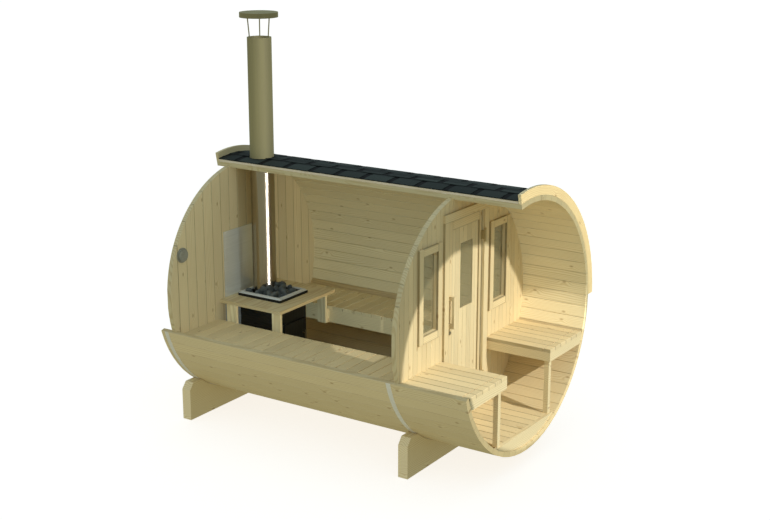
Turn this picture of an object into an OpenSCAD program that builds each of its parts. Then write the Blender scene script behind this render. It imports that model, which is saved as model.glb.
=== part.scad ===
// Cutaway barrel sauna: a stave barrel lying on two cradles, with a porch,
// a door wall, benches, a wood stove and a chimney. The staves of one side
// are left out between bench height and the crown, so the room is open to view.

/* [Barrel] */
// Outer radius of the barrel at the joints between staves
barrel_r = 1000; // [940:10:1100]
// Length of the barrel from rim to rim
barrel_l = 2860; // [2700:10:3400]
// Thickness of a stave
stave_t = 40; // [34:1:46]
// Number of staves in a whole ring
stave_n = 64; // [64:8:72]
// Bevel on the long edges of a stave
stave_bevel = 3; // [1:0.5:5]
// Depth of the groove in the staves that holds an end wall
croze_d = 18; // [12:1:24]

/* [Open side] */
// Staves kept between the crown and the open side
cut_top_n = 2; // [2:1:3]
// Stave joint, counted from the crown, where the shell starts again
cut_low_n = 19; // [18:1:20]

/* [End walls] */
// Thickness of the two end walls
wall_t = 40; // [34:1:50]
// Depth of the porch, from the front rim to the door wall
porch_l = 575; // [540:5:640]
// Distance from the back rim to the back wall
back_inset = 100; // [80:5:140]

/* [Door] */
// Width of the door leaf as a share of the barrel's radius
door_w_share = 0.52; // [0.48:0.005:0.54]
// Height of the door's top above the barrel's axis as a share of the barrel's radius
door_top_share = 0.78; // [0.74:0.005:0.79]
// Thickness of the door leaf
door_t = 36; // [30:1:40]
// Width of the leaf's stiles and rails
door_rail = 72; // [60:1:80]
// Depth of the leaf's panel behind its stiles
door_panel_d = 8; // [5:1:12]
// Running gap round the door leaf
door_gap = 6; // [5:0.5:8]
// Running gap at the leaf's latch edge
latch_gap = 10; // [10:0.5:14]
// Width of the pane in the door
door_pane_w = 187; // [150:1:200]
// Height of the pane in the door
door_pane_h = 520; // [400:5:560]
// Distance of the pane's upper edge from the door's top
door_pane_drop = 208; // [190:1:230]
// Distance of the pane's middle from the leaf's middle
door_pane_x = 48; // [20:1:50]
// Thickness of the frame boards that line the doorway
jamb_t = 28; // [22:1:32]
// Width of the casing boards round the door
casing_w = 66; // [50:1:72]
// Thickness of the casing boards on the door wall
casing_t = 18; // [14:1:22]
// Height of the sill above the floor
sill_h = 40; // [30:1:60]

/* [Door pull] */
// Length of the wooden door pull
pull_l = 255; // [200:5:300]
// Thickness of the pull's bar
pull_t = 22; // [18:1:26]
// Gap between the pull's bar and the door
pull_gap = 26; // [22:1:40]
// Height of the pull's middle above the floor
pull_h = 910; // [880:5:960]

/* [Windows] */
// Height of the top of a window's casing above the barrel's axis as a share of the barrel's radius
win_top_share = 0.66; // [0.6:0.005:0.68]
// Depth of the bottom of a window's casing below the barrel's axis as a share of the barrel's radius
win_low_share = 0.07; // [0.02:0.005:0.12]
// Width of the casing boards round a window
win_board = 60; // [50:1:66]
// Gap between the casings of a window and the door
win_gap = 33; // [20:1:40]
// Thickness of the panes
pane_t = 6; // [4:1:10]

/* [Floor] */
// Depth of the floor's top below the barrel's axis as a share of the barrel's radius
floor_share = 0.84; // [0.82:0.005:0.85]
// Thickness of floor, bench and bearer boards
board_t = 28; // [24:1:32]
// Floor boards side by side
floor_n = 8; // [6:1:9]
// Gap between floor boards and between bench slats
slat_gap = 6; // [4:0.5:8]
// Chamfer on the upper edges of floor boards and bench slats
slat_edge = 2.5; // [1:0.5:4]

/* [Benches] */
// Height of the porch bench tops above the floor
porch_seat_h = 552; // [520:1:555]
// Distance of a porch bench's inner edge from the middle as a share of the barrel's radius
porch_seat_share = 0.35; // [0.34:0.005:0.38]
// Slats in the top of a porch bench
porch_slat_n = 6; // [5:1:7]
// Width of the cross board at the front of a porch bench
porch_cross_w = 60; // [40:1:90]
// Height of the room bench tops above the floor
room_seat_h = 523; // [500:1:540]
// Distance of a room bench's inner edge from the middle as a share of the barrel's radius
room_seat_share = 0.408; // [0.4:0.002:0.42]
// Slats in the top of a room bench
room_slat_n = 21; // [18:1:23]
// Height of the porch bench aprons below the slats
porch_apron_h = 72; // [60:1:110]
// Height of the room bench aprons below the slats
room_apron_h = 118; // [80:1:130]
// Side of the square bench legs
leg_w = 40; // [34:1:50]

/* [Roof] */
// Angle from the crown down to the roof's closed eave
eave_angle = 90; // [80:1:90]
// Thickness of the roof boards
deck_t = 18; // [12:1:22]
// Thickness of the shingle covering
shingle_t = 8; // [5:1:10]
// Height of the arched fascia boards above the staves
fascia_h = 75; // [60:1:90]
// Thickness of the arched fascia boards
fascia_t = 25; // [20:1:30]

/* [Hoops and cradles] */
// Width of the steel hoops
hoop_w = 40; // [30:1:50]
// Thickness of the steel hoops
hoop_t = 2; // [1.5:0.5:3]
// Clear height under the barrel
ground_gap = 120; // [100:5:150]
// Half the length of a cradle beam
cradle_x = 750; // [720:5:780]
// Height of a cradle beam at its shoulder
cradle_h = 320; // [300:5:330]
// Thickness of a cradle beam
cradle_t = 85; // [70:1:95]
// Width of the sloped corner of a cradle beam
cradle_slope_x = 46; // [30:1:60]
// Height of the sloped corner of a cradle beam
cradle_slope_z = 58; // [40:1:70]

/* [Stove] */
// Width of the stove
stove_w = 360; // [330:5:380]
// Depth of the stove from front to back
stove_d = 420; // [400:5:430]
// Height of the stove rim's top above the floor
stove_h = 722; // [710:1:730]
// Height of the stove's feet
stove_foot_h = 60; // [40:5:90]
// Thickness of the stove's steel walls
stove_wall = 6; // [5:1:10]
// Width of the stove door
fire_door_w = 280; // [240:5:300]
// Height of the stove door
fire_door_h = 300; // [260:5:330]
// Width of the steel frame round the stones
stone_rim = 22; // [16:1:28]

/* [Guard] */
// Gap between the guard round the stove and a bench
guard_side_gap = 23; // [20:1:38]
// Distance of the guard's front from the back wall
guard_d = 640; // [630:5:680]
// Height of the guard's top above the floor
guard_h = 690; // [680:1:695]
// Thickness of the guard's boards
guard_t = 26; // [20:1:32]
// Width of the guard's front posts
guard_post_w = 85; // [70:1:100]
// Width of the guard's back posts
guard_back_w = 100; // [80:5:160]

/* [Chimney] */
// Outer diameter of the chimney pipe
pipe_d = 200; // [180:1:206]
// Wall of the insulated chimney pipe
pipe_wall = 25; // [15:1:35]
// Height of the chimney's mouth above the barrel's axis
pipe_top = 2010; // [1800:10:2200]
// Diameter of the rain cap
cap_d = 316; // [280:2:340]
// Thickness of the rain cap
cap_t = 40; // [25:1:50]
// Gap between the chimney's mouth and the rain cap
cap_gap = 160; // [120:5:200]
// Diameter of the rods that carry the rain cap
rod_d = 10; // [8:1:14]
// Outward lean of the rods that carry the rain cap
rod_lean = 5; // [0:0.5:6]

/* [Back wall fittings] */
// Diameter of the vent flange
vent_d = 122; // [90:1:124]
// Half the width of the heat shield
shield_x = 310; // [280:5:330]
// Height of the shield's top above the floor
shield_h = 1255; // [1220:5:1290]

/* [Hidden] */
$fn = 96;
// Facets of the circles as wide as the barrel
wide_fn = 360;

// Clearance between pieces that seat in or against each other
seat = 0.3;
// Overrun of a cut past the faces it opens
over = 5;

// Angle of one stave and the joints between the groups of staves
stave_a = 360 / stave_n;
top_last = stave_n / 8;
bottom_mid = stave_n / 2;
// Flat outer and inner faces of a stave, measured from the axis
face_out = barrel_r * cos(stave_a / 2);
face_in = face_out - stave_t;
// Inner radius that everything inside the barrel keeps to
inner_r = face_in - seat;
// Radius of the groove for the end walls and of the walls in it
groove_r = face_in + croze_d;
wall_r = groove_r - seat;

// Heights that follow the barrel's radius, and heights measured from the floor
floor_z = barrel_r * floor_share;
door_w = barrel_r * door_w_share;
door_top = barrel_r * door_top_share;
win_top = barrel_r * win_top_share;
win_low = barrel_r * win_low_share;
porch_seat_z = floor_z - porch_seat_h;
porch_seat_x = barrel_r * porch_seat_share;
room_seat_z = floor_z - room_seat_h;
room_seat_x = barrel_r * room_seat_share;
stove_z = floor_z - stove_h;
guard_z = floor_z - guard_h;
guard_x = room_seat_x - guard_side_gap;
shield_top = shield_h - floor_z;
pull_z = pull_h - floor_z;
door_pane_z = door_top - door_pane_drop - door_pane_h;

// Faces of the door wall and of the back wall along the barrel
front_in = porch_l + wall_t;
back_out = barrel_l - back_inset;
back_in = back_out - wall_t;

// Roof layers
hoop_in = barrel_r + seat;
hoop_out = hoop_in + hoop_t;
deck_in = hoop_out + seat;
deck_out = deck_in + deck_t;
shingle_out = deck_out + shingle_t;
fascia_out = barrel_r + fascia_h;
cut_angle = -cut_top_n * stave_a;
shell_end = 360 - cut_low_n * stave_a;

// Place of the barrel's axis over the ground and between the sides
axis_z = barrel_r + ground_gap;
side_x = (fascia_out * sin(eave_angle) - wall_r) / 2;

// Doorway
leaf_l = -door_w / 2 - door_gap + latch_gap;
leaf_r = door_w / 2;
clear_x = door_w / 2 + door_gap;
way_x = clear_x + jamb_t;
clear_top = door_top + door_gap;
way_top = clear_top + jamb_t;
sill_z = -floor_z + sill_h;
leaf_low = sill_z + door_gap;
leaf_set = 5;
leaf_y = porch_l + leaf_set;
// Hinge line in front of the casing, at the leaf's right edge
hinge_r = 8;
hinge_x = clear_x - door_gap / 2;
hinge_y = porch_l - casing_t - hinge_r;

// Windows between the door's casing and the shell
shell_gap = 4;
win_in = clear_x + casing_w + win_gap;
win_out = sqrt(pow(inner_r - shell_gap, 2) - pow(win_top, 2));
pane_set_share = 0.75;

// Floor boards and their bearers
floor_low = -floor_z - board_t;
floor_clear = 3;
floor_x = sqrt(pow(inner_r, 2) - pow(floor_low, 2)) - floor_clear;
floor_pitch = (2 * floor_x + slat_gap) / floor_n;
kick_set = 15;
kick_y = kick_set + board_t;
bearer_w = 45;

// Bench tops
shell_side = 6;
porch_side = sqrt(pow(inner_r, 2) - pow(porch_seat_z + board_t, 2)) - shell_side;
porch_pitch = (porch_side - porch_seat_x + slat_gap) / porch_slat_n;
room_side = sqrt(pow(inner_r, 2) - pow(room_seat_z + board_t, 2)) - shell_side;
room_pitch = (back_in - front_in - 2 * seat + slat_gap) / room_slat_n;
leg_hold = 14;
porch_leg_x = floor_x - leg_hold;

// Stove, guard and chimney, set from the back wall
shield_t = 2;
shield_y = back_in - seat - shield_t;
shield_low_gap = 60;
stove_back_gap = 58;
stove_back = back_in - stove_back_gap;
stove_front = stove_back - stove_d;
collar_h = 45;
collar_grow = 12;
rim_h = 12;
collar_top = -stove_z - rim_h;
body_top = collar_top - collar_h;
body_low = -floor_z + stove_foot_h;
pipe_r = pipe_d / 2;
flue_gap = 4;
pipe_y = stove_back - stone_rim - flue_gap - pipe_r;
guard_back = shield_y - seat;
guard_front = back_in - guard_d;
guard_low = -guard_z - guard_t;
guard_hole_gap = 8;

// Stove door
fire_door_t = 14;
fire_door_gap = 6;
fire_door_rise = 120;
fire_door_z = body_low + fire_door_rise;
fire_way_inset = 24;
fire_hinge_r = 8;
fire_hinge_x = -fire_door_w / 2;
fire_hinge_y = stove_front - fire_door_gap - fire_door_t / 2;
knuckle_over = 6;
lug_h = 16;

// Frames and helpers
module place() translate([-side_x, -barrel_l / 2, axis_z]) children();
module along_y(y0, y1) translate([0, y1, 0]) rotate([90, 0, 0]) linear_extrude(y1 - y0) children();
module box(x0, x1, y0, y1, z0, z1) translate([x0, y0, z0]) cube([x1 - x0, y1 - y0, z1 - z0]);
// A board lying along the barrel, or across it, with chamfered upper edges
module slat_outline(a0, a1, z0, z1) polygon([[a0, z0], [a1, z0], [a1, z1 - slat_edge],
  [a1 - slat_edge, z1], [a0 + slat_edge, z1], [a0, z1 - slat_edge]]);
module slat_along(x0, x1, y0, y1, z0, z1) along_y(y0, y1) slat_outline(x0, x1, z0, z1);
module slat_across(x0, x1, y0, y1, z0, z1) translate([x0, 0, 0]) rotate([90, 0, 90])
  linear_extrude(x1 - x0) slat_outline(y0, y1, z0, z1);
module both_sides(side) mirror([side < 0 ? 1 : 0, 0, 0]) children();
module flue_hole(z0, z1) translate([0, pipe_y, z0]) cylinder(r = pipe_r + flue_gap, h = z1 - z0);

// Sector of a ring about the barrel's axis, angles measured from the crown towards +X
module ring_sector(r_in, r_out, a0, a1) {
  steps = ceil((a1 - a0) / 45);
  reach = 2 * r_out;
  difference() {
    intersection() {
      circle(r = r_out, $fn = wide_fn);
      polygon(concat([[0, 0]], [for (k = [0:steps])
        let (a = a0 + (a1 - a0) * k / steps) [reach * sin(a), reach * cos(a)]]));
    }
    circle(r = r_in, $fn = wide_fn);
  }
}

// One stave: a bevelled board, mitred to its neighbours, with a groove for each end wall
module stave(i) {
  half_out = face_out * tan(stave_a / 2) - seat / 2;
  half_in = face_in * tan(stave_a / 2) - seat / 2;
  b = stave_bevel;
  difference() {
    rotate([0, (i + 1 / 2) * stave_a, 0]) along_y(0, barrel_l) polygon([
      [-half_in + b, face_in], [half_in - b, face_in], [half_in, face_in + b],
      [half_out, face_out - b], [half_out - b, face_out], [-half_out + b, face_out],
      [-half_out, face_out - b], [-half_in, face_in + b]]);
    along_y(porch_l - seat, front_in + seat) circle(r = groove_r, $fn = wide_fn);
    along_y(back_in - seat, back_out + seat) circle(r = groove_r, $fn = wide_fn);
  }
}
module staves(i0, i1) color("burlywood") for (i = [i0:i1]) stave(i);
module staves_top() color("burlywood") difference() {
  staves(-cut_top_n, top_last - 1);
  flue_hole(0, fascia_out);
}
module staves_right() staves(top_last, cut_low_n - 1);
module staves_bottom_right() staves(cut_low_n, bottom_mid - 1);
module staves_bottom_left() staves(bottom_mid, stave_n - cut_low_n - 1);

// Steel hoops round the staves, one over each cradle
module hoop(y) color("lightgray") along_y(y - hoop_w / 2, y + hoop_w / 2)
  ring_sector(hoop_in, hoop_out, cut_angle, shell_end);
cradle_front_y = front_in + cradle_t / 2;
cradle_back_y = back_out + cradle_t / 2;
module hoop_front() hoop(cradle_front_y);
module hoop_back() hoop(cradle_back_y);

// Cradle beams, hollowed to the barrel
module cradle(y) color("tan") along_y(y - cradle_t / 2, y + cradle_t / 2) difference() {
  polygon([
    [-cradle_x, -axis_z], [cradle_x, -axis_z],
    [cradle_x, -axis_z + cradle_h - cradle_slope_z], [cradle_x - cradle_slope_x, -axis_z + cradle_h],
    [-cradle_x + cradle_slope_x, -axis_z + cradle_h], [-cradle_x, -axis_z + cradle_h - cradle_slope_z]]);
  circle(r = hoop_out + seat, $fn = wide_fn);
}
module cradle_front() cradle(cradle_front_y);
module cradle_back() cradle(cradle_back_y);

// Roof: bent boards, shingles and an arched fascia at each end
module roof_layer(r_in, r_out) difference() {
  along_y(fascia_t + seat, barrel_l - fascia_t - seat) ring_sector(r_in, r_out, cut_angle, eave_angle);
  flue_hole(0, fascia_out);
}
module roof_deck() color("wheat") roof_layer(deck_in, deck_out);
module roof_shingles() color("darkslategray") roof_layer(deck_out, shingle_out);
module roof_fascia(y) color("wheat") along_y(y, y + fascia_t)
  ring_sector(barrel_r + seat, fascia_out, cut_angle, eave_angle);
module roof_fascia_front() roof_fascia(0);
module roof_fascia_back() roof_fascia(barrel_l - fascia_t);

// Door wall, split beside, over and under the doorway
module front_wall_piece(x0, x1, z0, z1) along_y(porch_l, front_in) intersection() {
  circle(r = wall_r, $fn = wide_fn);
  translate([x0, z0]) square([x1 - x0, z1 - z0]);
}
module window_hole() box(win_in + win_board, win_out - win_board, porch_l - over, front_in + over,
  -win_low + win_board, win_top - win_board);
module front_wall_side() color("burlywood") difference() {
  front_wall_piece(way_x, wall_r + over, -wall_r - over, wall_r + over);
  window_hole();
}
module front_wall_left() both_sides(-1) front_wall_side();
module front_wall_right() front_wall_side();
module front_wall_header() color("burlywood") front_wall_piece(-way_x, way_x, way_top, wall_r + over);
module front_wall_sill() color("burlywood") front_wall_piece(-way_x, way_x, -wall_r - over, sill_z);

// Back wall with its vent hole and heat shield
vent_flange = 10;
vent_share = 0.335;
vent_z = barrel_r * vent_share;
vent_x = -sqrt(pow(inner_r - shell_gap - vent_d / 2, 2) - pow(vent_z, 2));
vent_bore = vent_d / 2 - vent_flange;
vent_lip = 8;
vent_plate_t = 14;
module back_wall() color("burlywood") difference() {
  along_y(back_in, back_out) circle(r = wall_r, $fn = wide_fn);
  along_y(back_in - over, back_out + over) translate([vent_x, vent_z]) circle(r = vent_bore);
}
module vent() color("silver") difference() {
  union() {
    along_y(back_in - vent_lip, back_in) translate([vent_x, vent_z]) circle(r = vent_d / 2);
    along_y(back_in - vent_lip - vent_plate_t, back_in) translate([vent_x, vent_z]) circle(r = vent_bore);
    along_y(back_in - over, back_out) translate([vent_x, vent_z]) circle(r = vent_bore - seat);
  }
  along_y(back_in, back_out + over) translate([vent_x, vent_z]) circle(r = vent_bore - vent_flange);
}
module heat_shield() color("lightsteelblue")
  box(-shield_x, shield_x, shield_y, back_in - seat, -floor_z + shield_low_gap, shield_top);

// Door frame: a lining board in the doorway and a casing board on the wall, in one
module door_frame_side() color("wheat") union() {
  box(clear_x, way_x, porch_l, front_in, sill_z, clear_top);
  box(clear_x, clear_x + casing_w, porch_l - casing_t, porch_l, sill_z, clear_top);
}
module door_frame_left() both_sides(-1) door_frame_side();
module door_frame_right() door_frame_side();
module door_frame_head() color("wheat") union() {
  box(-way_x, way_x, porch_l, front_in, clear_top, way_top);
  box(-clear_x - casing_w, clear_x + casing_w, porch_l - casing_t, porch_l,
    clear_top, clear_top + casing_w);
}

// Door leaf: stiles and rails round a sunk panel with a tall pane
pane_l = door_pane_x - door_pane_w / 2;
pane_r = door_pane_x + door_pane_w / 2;
module door_leaf() color("wheat") difference() {
  box(leaf_l, leaf_r, leaf_y, leaf_y + door_t, leaf_low, door_top);
  box(leaf_l + door_rail, leaf_r - door_rail / 2, leaf_y - over, leaf_y + door_panel_d,
    leaf_low + door_rail, door_top - door_rail);
  box(pane_l, pane_r, leaf_y - over, leaf_y + door_t + over, door_pane_z, door_pane_z + door_pane_h);
}
module door_pane() color("lightblue", 0.5) box(pane_l + seat, pane_r - seat,
  leaf_y + (door_t - pane_t) / 2, leaf_y + (door_t + pane_t) / 2,
  door_pane_z + seat, door_pane_z + door_pane_h - seat);
pull_x = leaf_l + door_rail / 2;
pull_foot = 34;
module door_pull() color("peru") union() {
  box(pull_x - pull_t / 2, pull_x + pull_t / 2, leaf_y - pull_gap - pull_t, leaf_y - pull_gap,
    pull_z - pull_l / 2, pull_z + pull_l / 2);
  for (end = [-1, 1]) translate([0, 0, pull_z + end * (pull_l - pull_foot) / 2])
    box(pull_x - pull_t / 2, pull_x + pull_t / 2, leaf_y - pull_gap - pull_t / 2, leaf_y,
      -pull_foot / 2, pull_foot / 2);
}
lock_r = 14;
lock_t = 10;
lock_drop = 40;
module door_lock() color("silver") along_y(leaf_y - lock_t, leaf_y)
  translate([pull_x, pull_z - pull_l / 2 - lock_drop]) circle(r = lock_r);
// Hinge knuckles on the leaf's edge, joined to it by a plate that lies on the stile
hinge_h = 70;
hinge_plate_w = 18;
hinge_plate_t = 3;
hinge_inset = 200;
module door_hinges() color("silver") for (z = [leaf_low + hinge_inset, door_top - hinge_inset]) union() {
  translate([hinge_x, hinge_y, z - hinge_h / 2]) cylinder(r = hinge_r, h = hinge_h);
  box(leaf_r - hinge_plate_w, leaf_r, leaf_y - hinge_plate_t, leaf_y, z - hinge_h / 2, z + hinge_h / 2);
  box(leaf_r - hinge_plate_t, leaf_r, hinge_y, leaf_y, z - hinge_h / 2, z + hinge_h / 2);
}

// Frame halves of the hinges: a knuckle over and under each leaf knuckle, on a plate on the casing
hinge_end_h = 18;
module door_hinge_frame() color("silver") for (z = [leaf_low + hinge_inset, door_top - hinge_inset])
  for (z0 = [z - hinge_h / 2 - seat - hinge_end_h, z + hinge_h / 2 + seat]) union() {
    translate([hinge_x, hinge_y, z0]) cylinder(r = hinge_r, h = hinge_end_h);
    box(hinge_x, clear_x + hinge_plate_w, porch_l - casing_t - hinge_plate_t, porch_l - casing_t,
      z0, z0 + hinge_end_h);
  }

// Windows: a casing of four boards and a fixed pane
module window_casing_side() color("wheat") difference() {
  box(win_in, win_out, porch_l - casing_t, porch_l, -win_low, win_top);
  window_hole();
  box(win_in + win_board, win_out - win_board, porch_l - casing_t - over, porch_l + over,
    -win_low + win_board, win_top - win_board);
}
module window_pane_side() {
  pane_y = porch_l + wall_t * pane_set_share;
  color("lightblue", 0.5) box(win_in + win_board + seat, win_out - win_board - seat, pane_y - pane_t, pane_y,
    -win_low + win_board + seat, win_top - win_board - seat);
}
module window_casing_left() both_sides(-1) window_casing_side();
module window_casing_right() window_casing_side();
module window_pane_left() both_sides(-1) window_pane_side();
module window_pane_right() window_pane_side();

// Floors: boards along the barrel on segment bearers
module floor_boards(y0, y1) color("burlywood") for (k = [0:floor_n - 1])
  slat_along(-floor_x + k * floor_pitch, -floor_x + (k + 1) * floor_pitch - slat_gap,
    y0, y1, floor_low, -floor_z);
module bearer(y0, y1, top) along_y(y0, y1) intersection() {
  circle(r = inner_r, $fn = wide_fn);
  translate([-barrel_r, -barrel_r]) square([2 * barrel_r, barrel_r + top]);
}
module porch_floor() floor_boards(kick_y, porch_l);
module porch_bearers() color("tan") union() {
  bearer(kick_set, kick_y - seat, -floor_z);
  bearer(kick_y, kick_y + bearer_w, floor_low);
  bearer(porch_l - bearer_w, porch_l, floor_low);
}
module room_floor() floor_boards(front_in, back_in);
module room_bearers() color("tan") union() {
  bearer(front_in, front_in + bearer_w, floor_low);
  bearer((front_in + back_in - bearer_w) / 2, (front_in + back_in + bearer_w) / 2, floor_low);
  bearer(back_in - bearer_w, back_in, floor_low);
}

// Porch benches: slats along the barrel behind a cross board, on an apron frame with one leg
module porch_bench_side() color("wheat") union() {
  slat_across(porch_seat_x, porch_side, 0, porch_cross_w, -porch_seat_z - board_t, -porch_seat_z);
  for (k = [0:porch_slat_n - 1])
    slat_along(porch_seat_x + k * porch_pitch, porch_seat_x + (k + 1) * porch_pitch - slat_gap,
      porch_cross_w + slat_gap, porch_l, -porch_seat_z - board_t, -porch_seat_z);
}
module porch_bench_frame_side() {
  top = -porch_seat_z - board_t;
  color("wheat") union() {
    for (y = [0, porch_l - board_t]) along_y(y, y + board_t) intersection() {
      circle(r = inner_r, $fn = wide_fn);
      translate([porch_seat_x, top - porch_apron_h]) square([barrel_r, porch_apron_h]);
    }
    box(porch_seat_x, porch_seat_x + board_t, board_t + seat, porch_l - board_t - seat,
      top - porch_apron_h, top);
    box(porch_leg_x, porch_leg_x + leg_w, board_t + seat, board_t + seat + leg_w, -floor_z, top);
  }
}
module porch_bench_left() both_sides(-1) porch_bench_side();
module porch_bench_right() porch_bench_side();
module porch_bench_frame_left() both_sides(-1) porch_bench_frame_side();
module porch_bench_frame_right() porch_bench_frame_side();

// Room benches: slats across, on an inner rail from wall to wall and a ledger along the shell
module room_bench_side() color("burlywood") for (k = [0:room_slat_n - 1])
  slat_across(room_seat_x, room_side, front_in + seat + k * room_pitch,
    front_in + seat + (k + 1) * room_pitch - slat_gap, -room_seat_z - board_t, -room_seat_z);
module room_bench_frame_side() {
  top = -room_seat_z - board_t;
  ledger_x = sqrt(pow(inner_r, 2) - pow(top - room_apron_h, 2)) - shell_side;
  color("tan") union() {
    box(room_seat_x, room_seat_x + board_t, front_in, back_in, top - room_apron_h, top);
    box(ledger_x - board_t, ledger_x, front_in, back_in, top - room_apron_h, top);
  }
}
module room_bench_left() both_sides(-1) room_bench_side();
module room_bench_right() room_bench_side();
module room_bench_frame_left() both_sides(-1) room_bench_frame_side();
module room_bench_frame_right() room_bench_frame_side();

// Stove: a steel box on feet with a firebox, and a collar and rim that hold the stones
foot_w = 40;
module stove_body() color("dimgray") union() {
  difference() {
    box(-stove_w / 2, stove_w / 2, stove_front, stove_back, body_low, body_top);
    box(-fire_door_w / 2 + fire_way_inset, fire_door_w / 2 - fire_way_inset,
      stove_front - over, stove_back - stove_wall - pipe_d,
      fire_door_z + fire_way_inset, fire_door_z + fire_door_h - fire_way_inset);
  }
  for (x = [-stove_w / 2, stove_w / 2 - foot_w], y = [stove_front, stove_back - foot_w])
    box(x, x + foot_w, y, y + foot_w, -floor_z, body_low);
}
// Basin for the stones: collar walls on the body, topped by a flat rim
module stove_top() color("gray") difference() {
  union() {
    box(-stove_w / 2 - collar_grow, stove_w / 2 + collar_grow,
      stove_front - collar_grow, stove_back + collar_grow, body_top, collar_top);
    box(-stove_w / 2, stove_w / 2, stove_front, stove_back, collar_top, -stove_z);
  }
  box(-stove_w / 2 + stone_rim, stove_w / 2 - stone_rim, stove_front + stone_rim, stove_back - stone_rim,
    body_top - over, -stove_z + over);
}
stone_drop = 4;
module stove_stones() color("slategray") difference() {
  box(-stove_w / 2 + stone_rim + seat, stove_w / 2 - stone_rim - seat,
    stove_front + stone_rim + seat, stove_back - stone_rim - seat, body_top, -stove_z - stone_drop);
  translate([0, pipe_y, body_top - over]) cylinder(r = pipe_r + seat, h = collar_h + rim_h + 2 * over);
}
module stove_door() color("black") union() {
  box(-fire_door_w / 2, fire_door_w / 2,
    stove_front - fire_door_gap - fire_door_t, stove_front - fire_door_gap,
    fire_door_z, fire_door_z + fire_door_h);
  translate([fire_hinge_x, fire_hinge_y, fire_door_z - knuckle_over])
    cylinder(r = fire_hinge_r, h = fire_door_h + 2 * knuckle_over);
}
// Lugs on the stove's front that hold the door's knuckle at both ends
module stove_lugs() color("dimgray")
  for (z0 = [fire_door_z - knuckle_over - seat - lug_h, fire_door_z + fire_door_h + knuckle_over + seat])
    box(fire_hinge_x - fire_hinge_r, fire_hinge_x + fire_hinge_r,
      fire_hinge_y - fire_hinge_r, stove_front, z0, z0 + lug_h);
handle_r = 7;
handle_l = 110;
handle_out = 34;
handle_inset = 36;
module stove_handle() color("silver") {
  x = fire_door_w / 2 - handle_inset;
  y = stove_front - fire_door_gap - fire_door_t;
  z = fire_door_z + fire_door_h / 2;
  union() {
    translate([x, y - handle_out, z - handle_l / 2]) cylinder(r = handle_r, h = handle_l);
    for (end = [-1, 1]) along_y(y - handle_out, y)
      translate([x, z + end * handle_l / 4]) circle(r = handle_r / 2);
  }
}

// Guard round the stove: a top with a square hole, on board posts
module guard_top() color("wheat") difference() {
  box(-guard_x, guard_x, guard_front, guard_back, guard_low, -guard_z);
  box(-stove_w / 2 - collar_grow - guard_hole_gap, stove_w / 2 + collar_grow + guard_hole_gap,
    stove_front - collar_grow - guard_hole_gap, stove_back + collar_grow + guard_hole_gap,
    guard_low - over, -guard_z + over);
}
guard_set = 8;
guard_far_set = 86;
guard_back_set = 68;
module guard_post(x, y, w, low) box(x, x + guard_t, y, y + w, low, guard_low);
// The far front post hangs beside the bench, with a spacer between it and the bench's rail
module guard_posts() color("wheat") {
  rail_top = -room_seat_z - board_t;
  far_y = guard_front + guard_far_set;
  guard_post(-guard_x + guard_set, guard_front + guard_set, guard_post_w, -floor_z);
  guard_post(guard_x - guard_t, far_y, guard_post_w, rail_top - room_apron_h);
  box(guard_x, room_seat_x - seat, far_y, far_y + guard_post_w, rail_top - room_apron_h, rail_top);
  for (x = [-guard_x + guard_set, guard_x - guard_set - guard_t])
    guard_post(x, guard_back - guard_back_set - guard_back_w, guard_back_w, -floor_z);
}

// Chimney: an insulated pipe from the stove through the roof, with a rain cap on three rods
module chimney_pipe() color("silver") translate([0, pipe_y, body_top]) difference() {
  cylinder(r = pipe_r, h = pipe_top - body_top);
  translate([0, 0, over]) cylinder(r = pipe_r - pipe_wall, h = pipe_top - body_top);
}
module chimney_cap() color("silver")
  translate([0, pipe_y, pipe_top + cap_gap]) cylinder(d = cap_d, h = cap_t);
rod_n = 3;
rod_turn = 35;
module chimney_rods() color("silver") for (k = [0:rod_n - 1])
  translate([0, pipe_y, pipe_top]) rotate([0, 0, rod_turn + 360 / rod_n * k]) intersection() {
    translate([pipe_r - pipe_wall / 2, 0, 0]) rotate([0, rod_lean, 0])
      translate([0, 0, -cap_gap]) cylinder(d = rod_d, h = 3 * cap_gap);
    translate([0, -cap_d / 2, 0]) cube([cap_d, cap_d, cap_gap]);
  }

place() {
  cradle_front();
  cradle_back();
  staves_top();
  staves_right();
  staves_bottom_right();
  staves_bottom_left();
  hoop_front();
  hoop_back();
  roof_deck();
  roof_shingles();
  roof_fascia_front();
  roof_fascia_back();
  front_wall_left();
  front_wall_right();
  front_wall_header();
  front_wall_sill();
  back_wall();
  door_frame_left();
  door_frame_right();
  door_frame_head();
  door_leaf();
  door_pane();
  door_pull();
  door_lock();
  door_hinges();
  door_hinge_frame();
  window_casing_left();
  window_casing_right();
  window_pane_left();
  window_pane_right();
  porch_floor();
  porch_bearers();
  room_floor();
  room_bearers();
  porch_bench_left();
  porch_bench_right();
  porch_bench_frame_left();
  porch_bench_frame_right();
  room_bench_left();
  room_bench_right();
  room_bench_frame_left();
  room_bench_frame_right();
  heat_shield();
  vent();
  stove_body();
  stove_top();
  stove_stones();
  stove_lugs();
  stove_door();
  stove_handle();
  guard_top();
  guard_posts();
  chimney_pipe();
  chimney_cap();
  chimney_rods();
}
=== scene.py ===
# %% [markdown]
# # A cutaway barrel sauna
# The solids of the sauna come in as a fixed frame: staves, hoops, roof, walls, benches, stove and
# chimney, all in metres, standing on the ground at z = 0. This lesson dresses them. It lays the wall
# boards, the shingles and the heater stones, sets the screws, and gives every surface its finish.

import math

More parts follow.
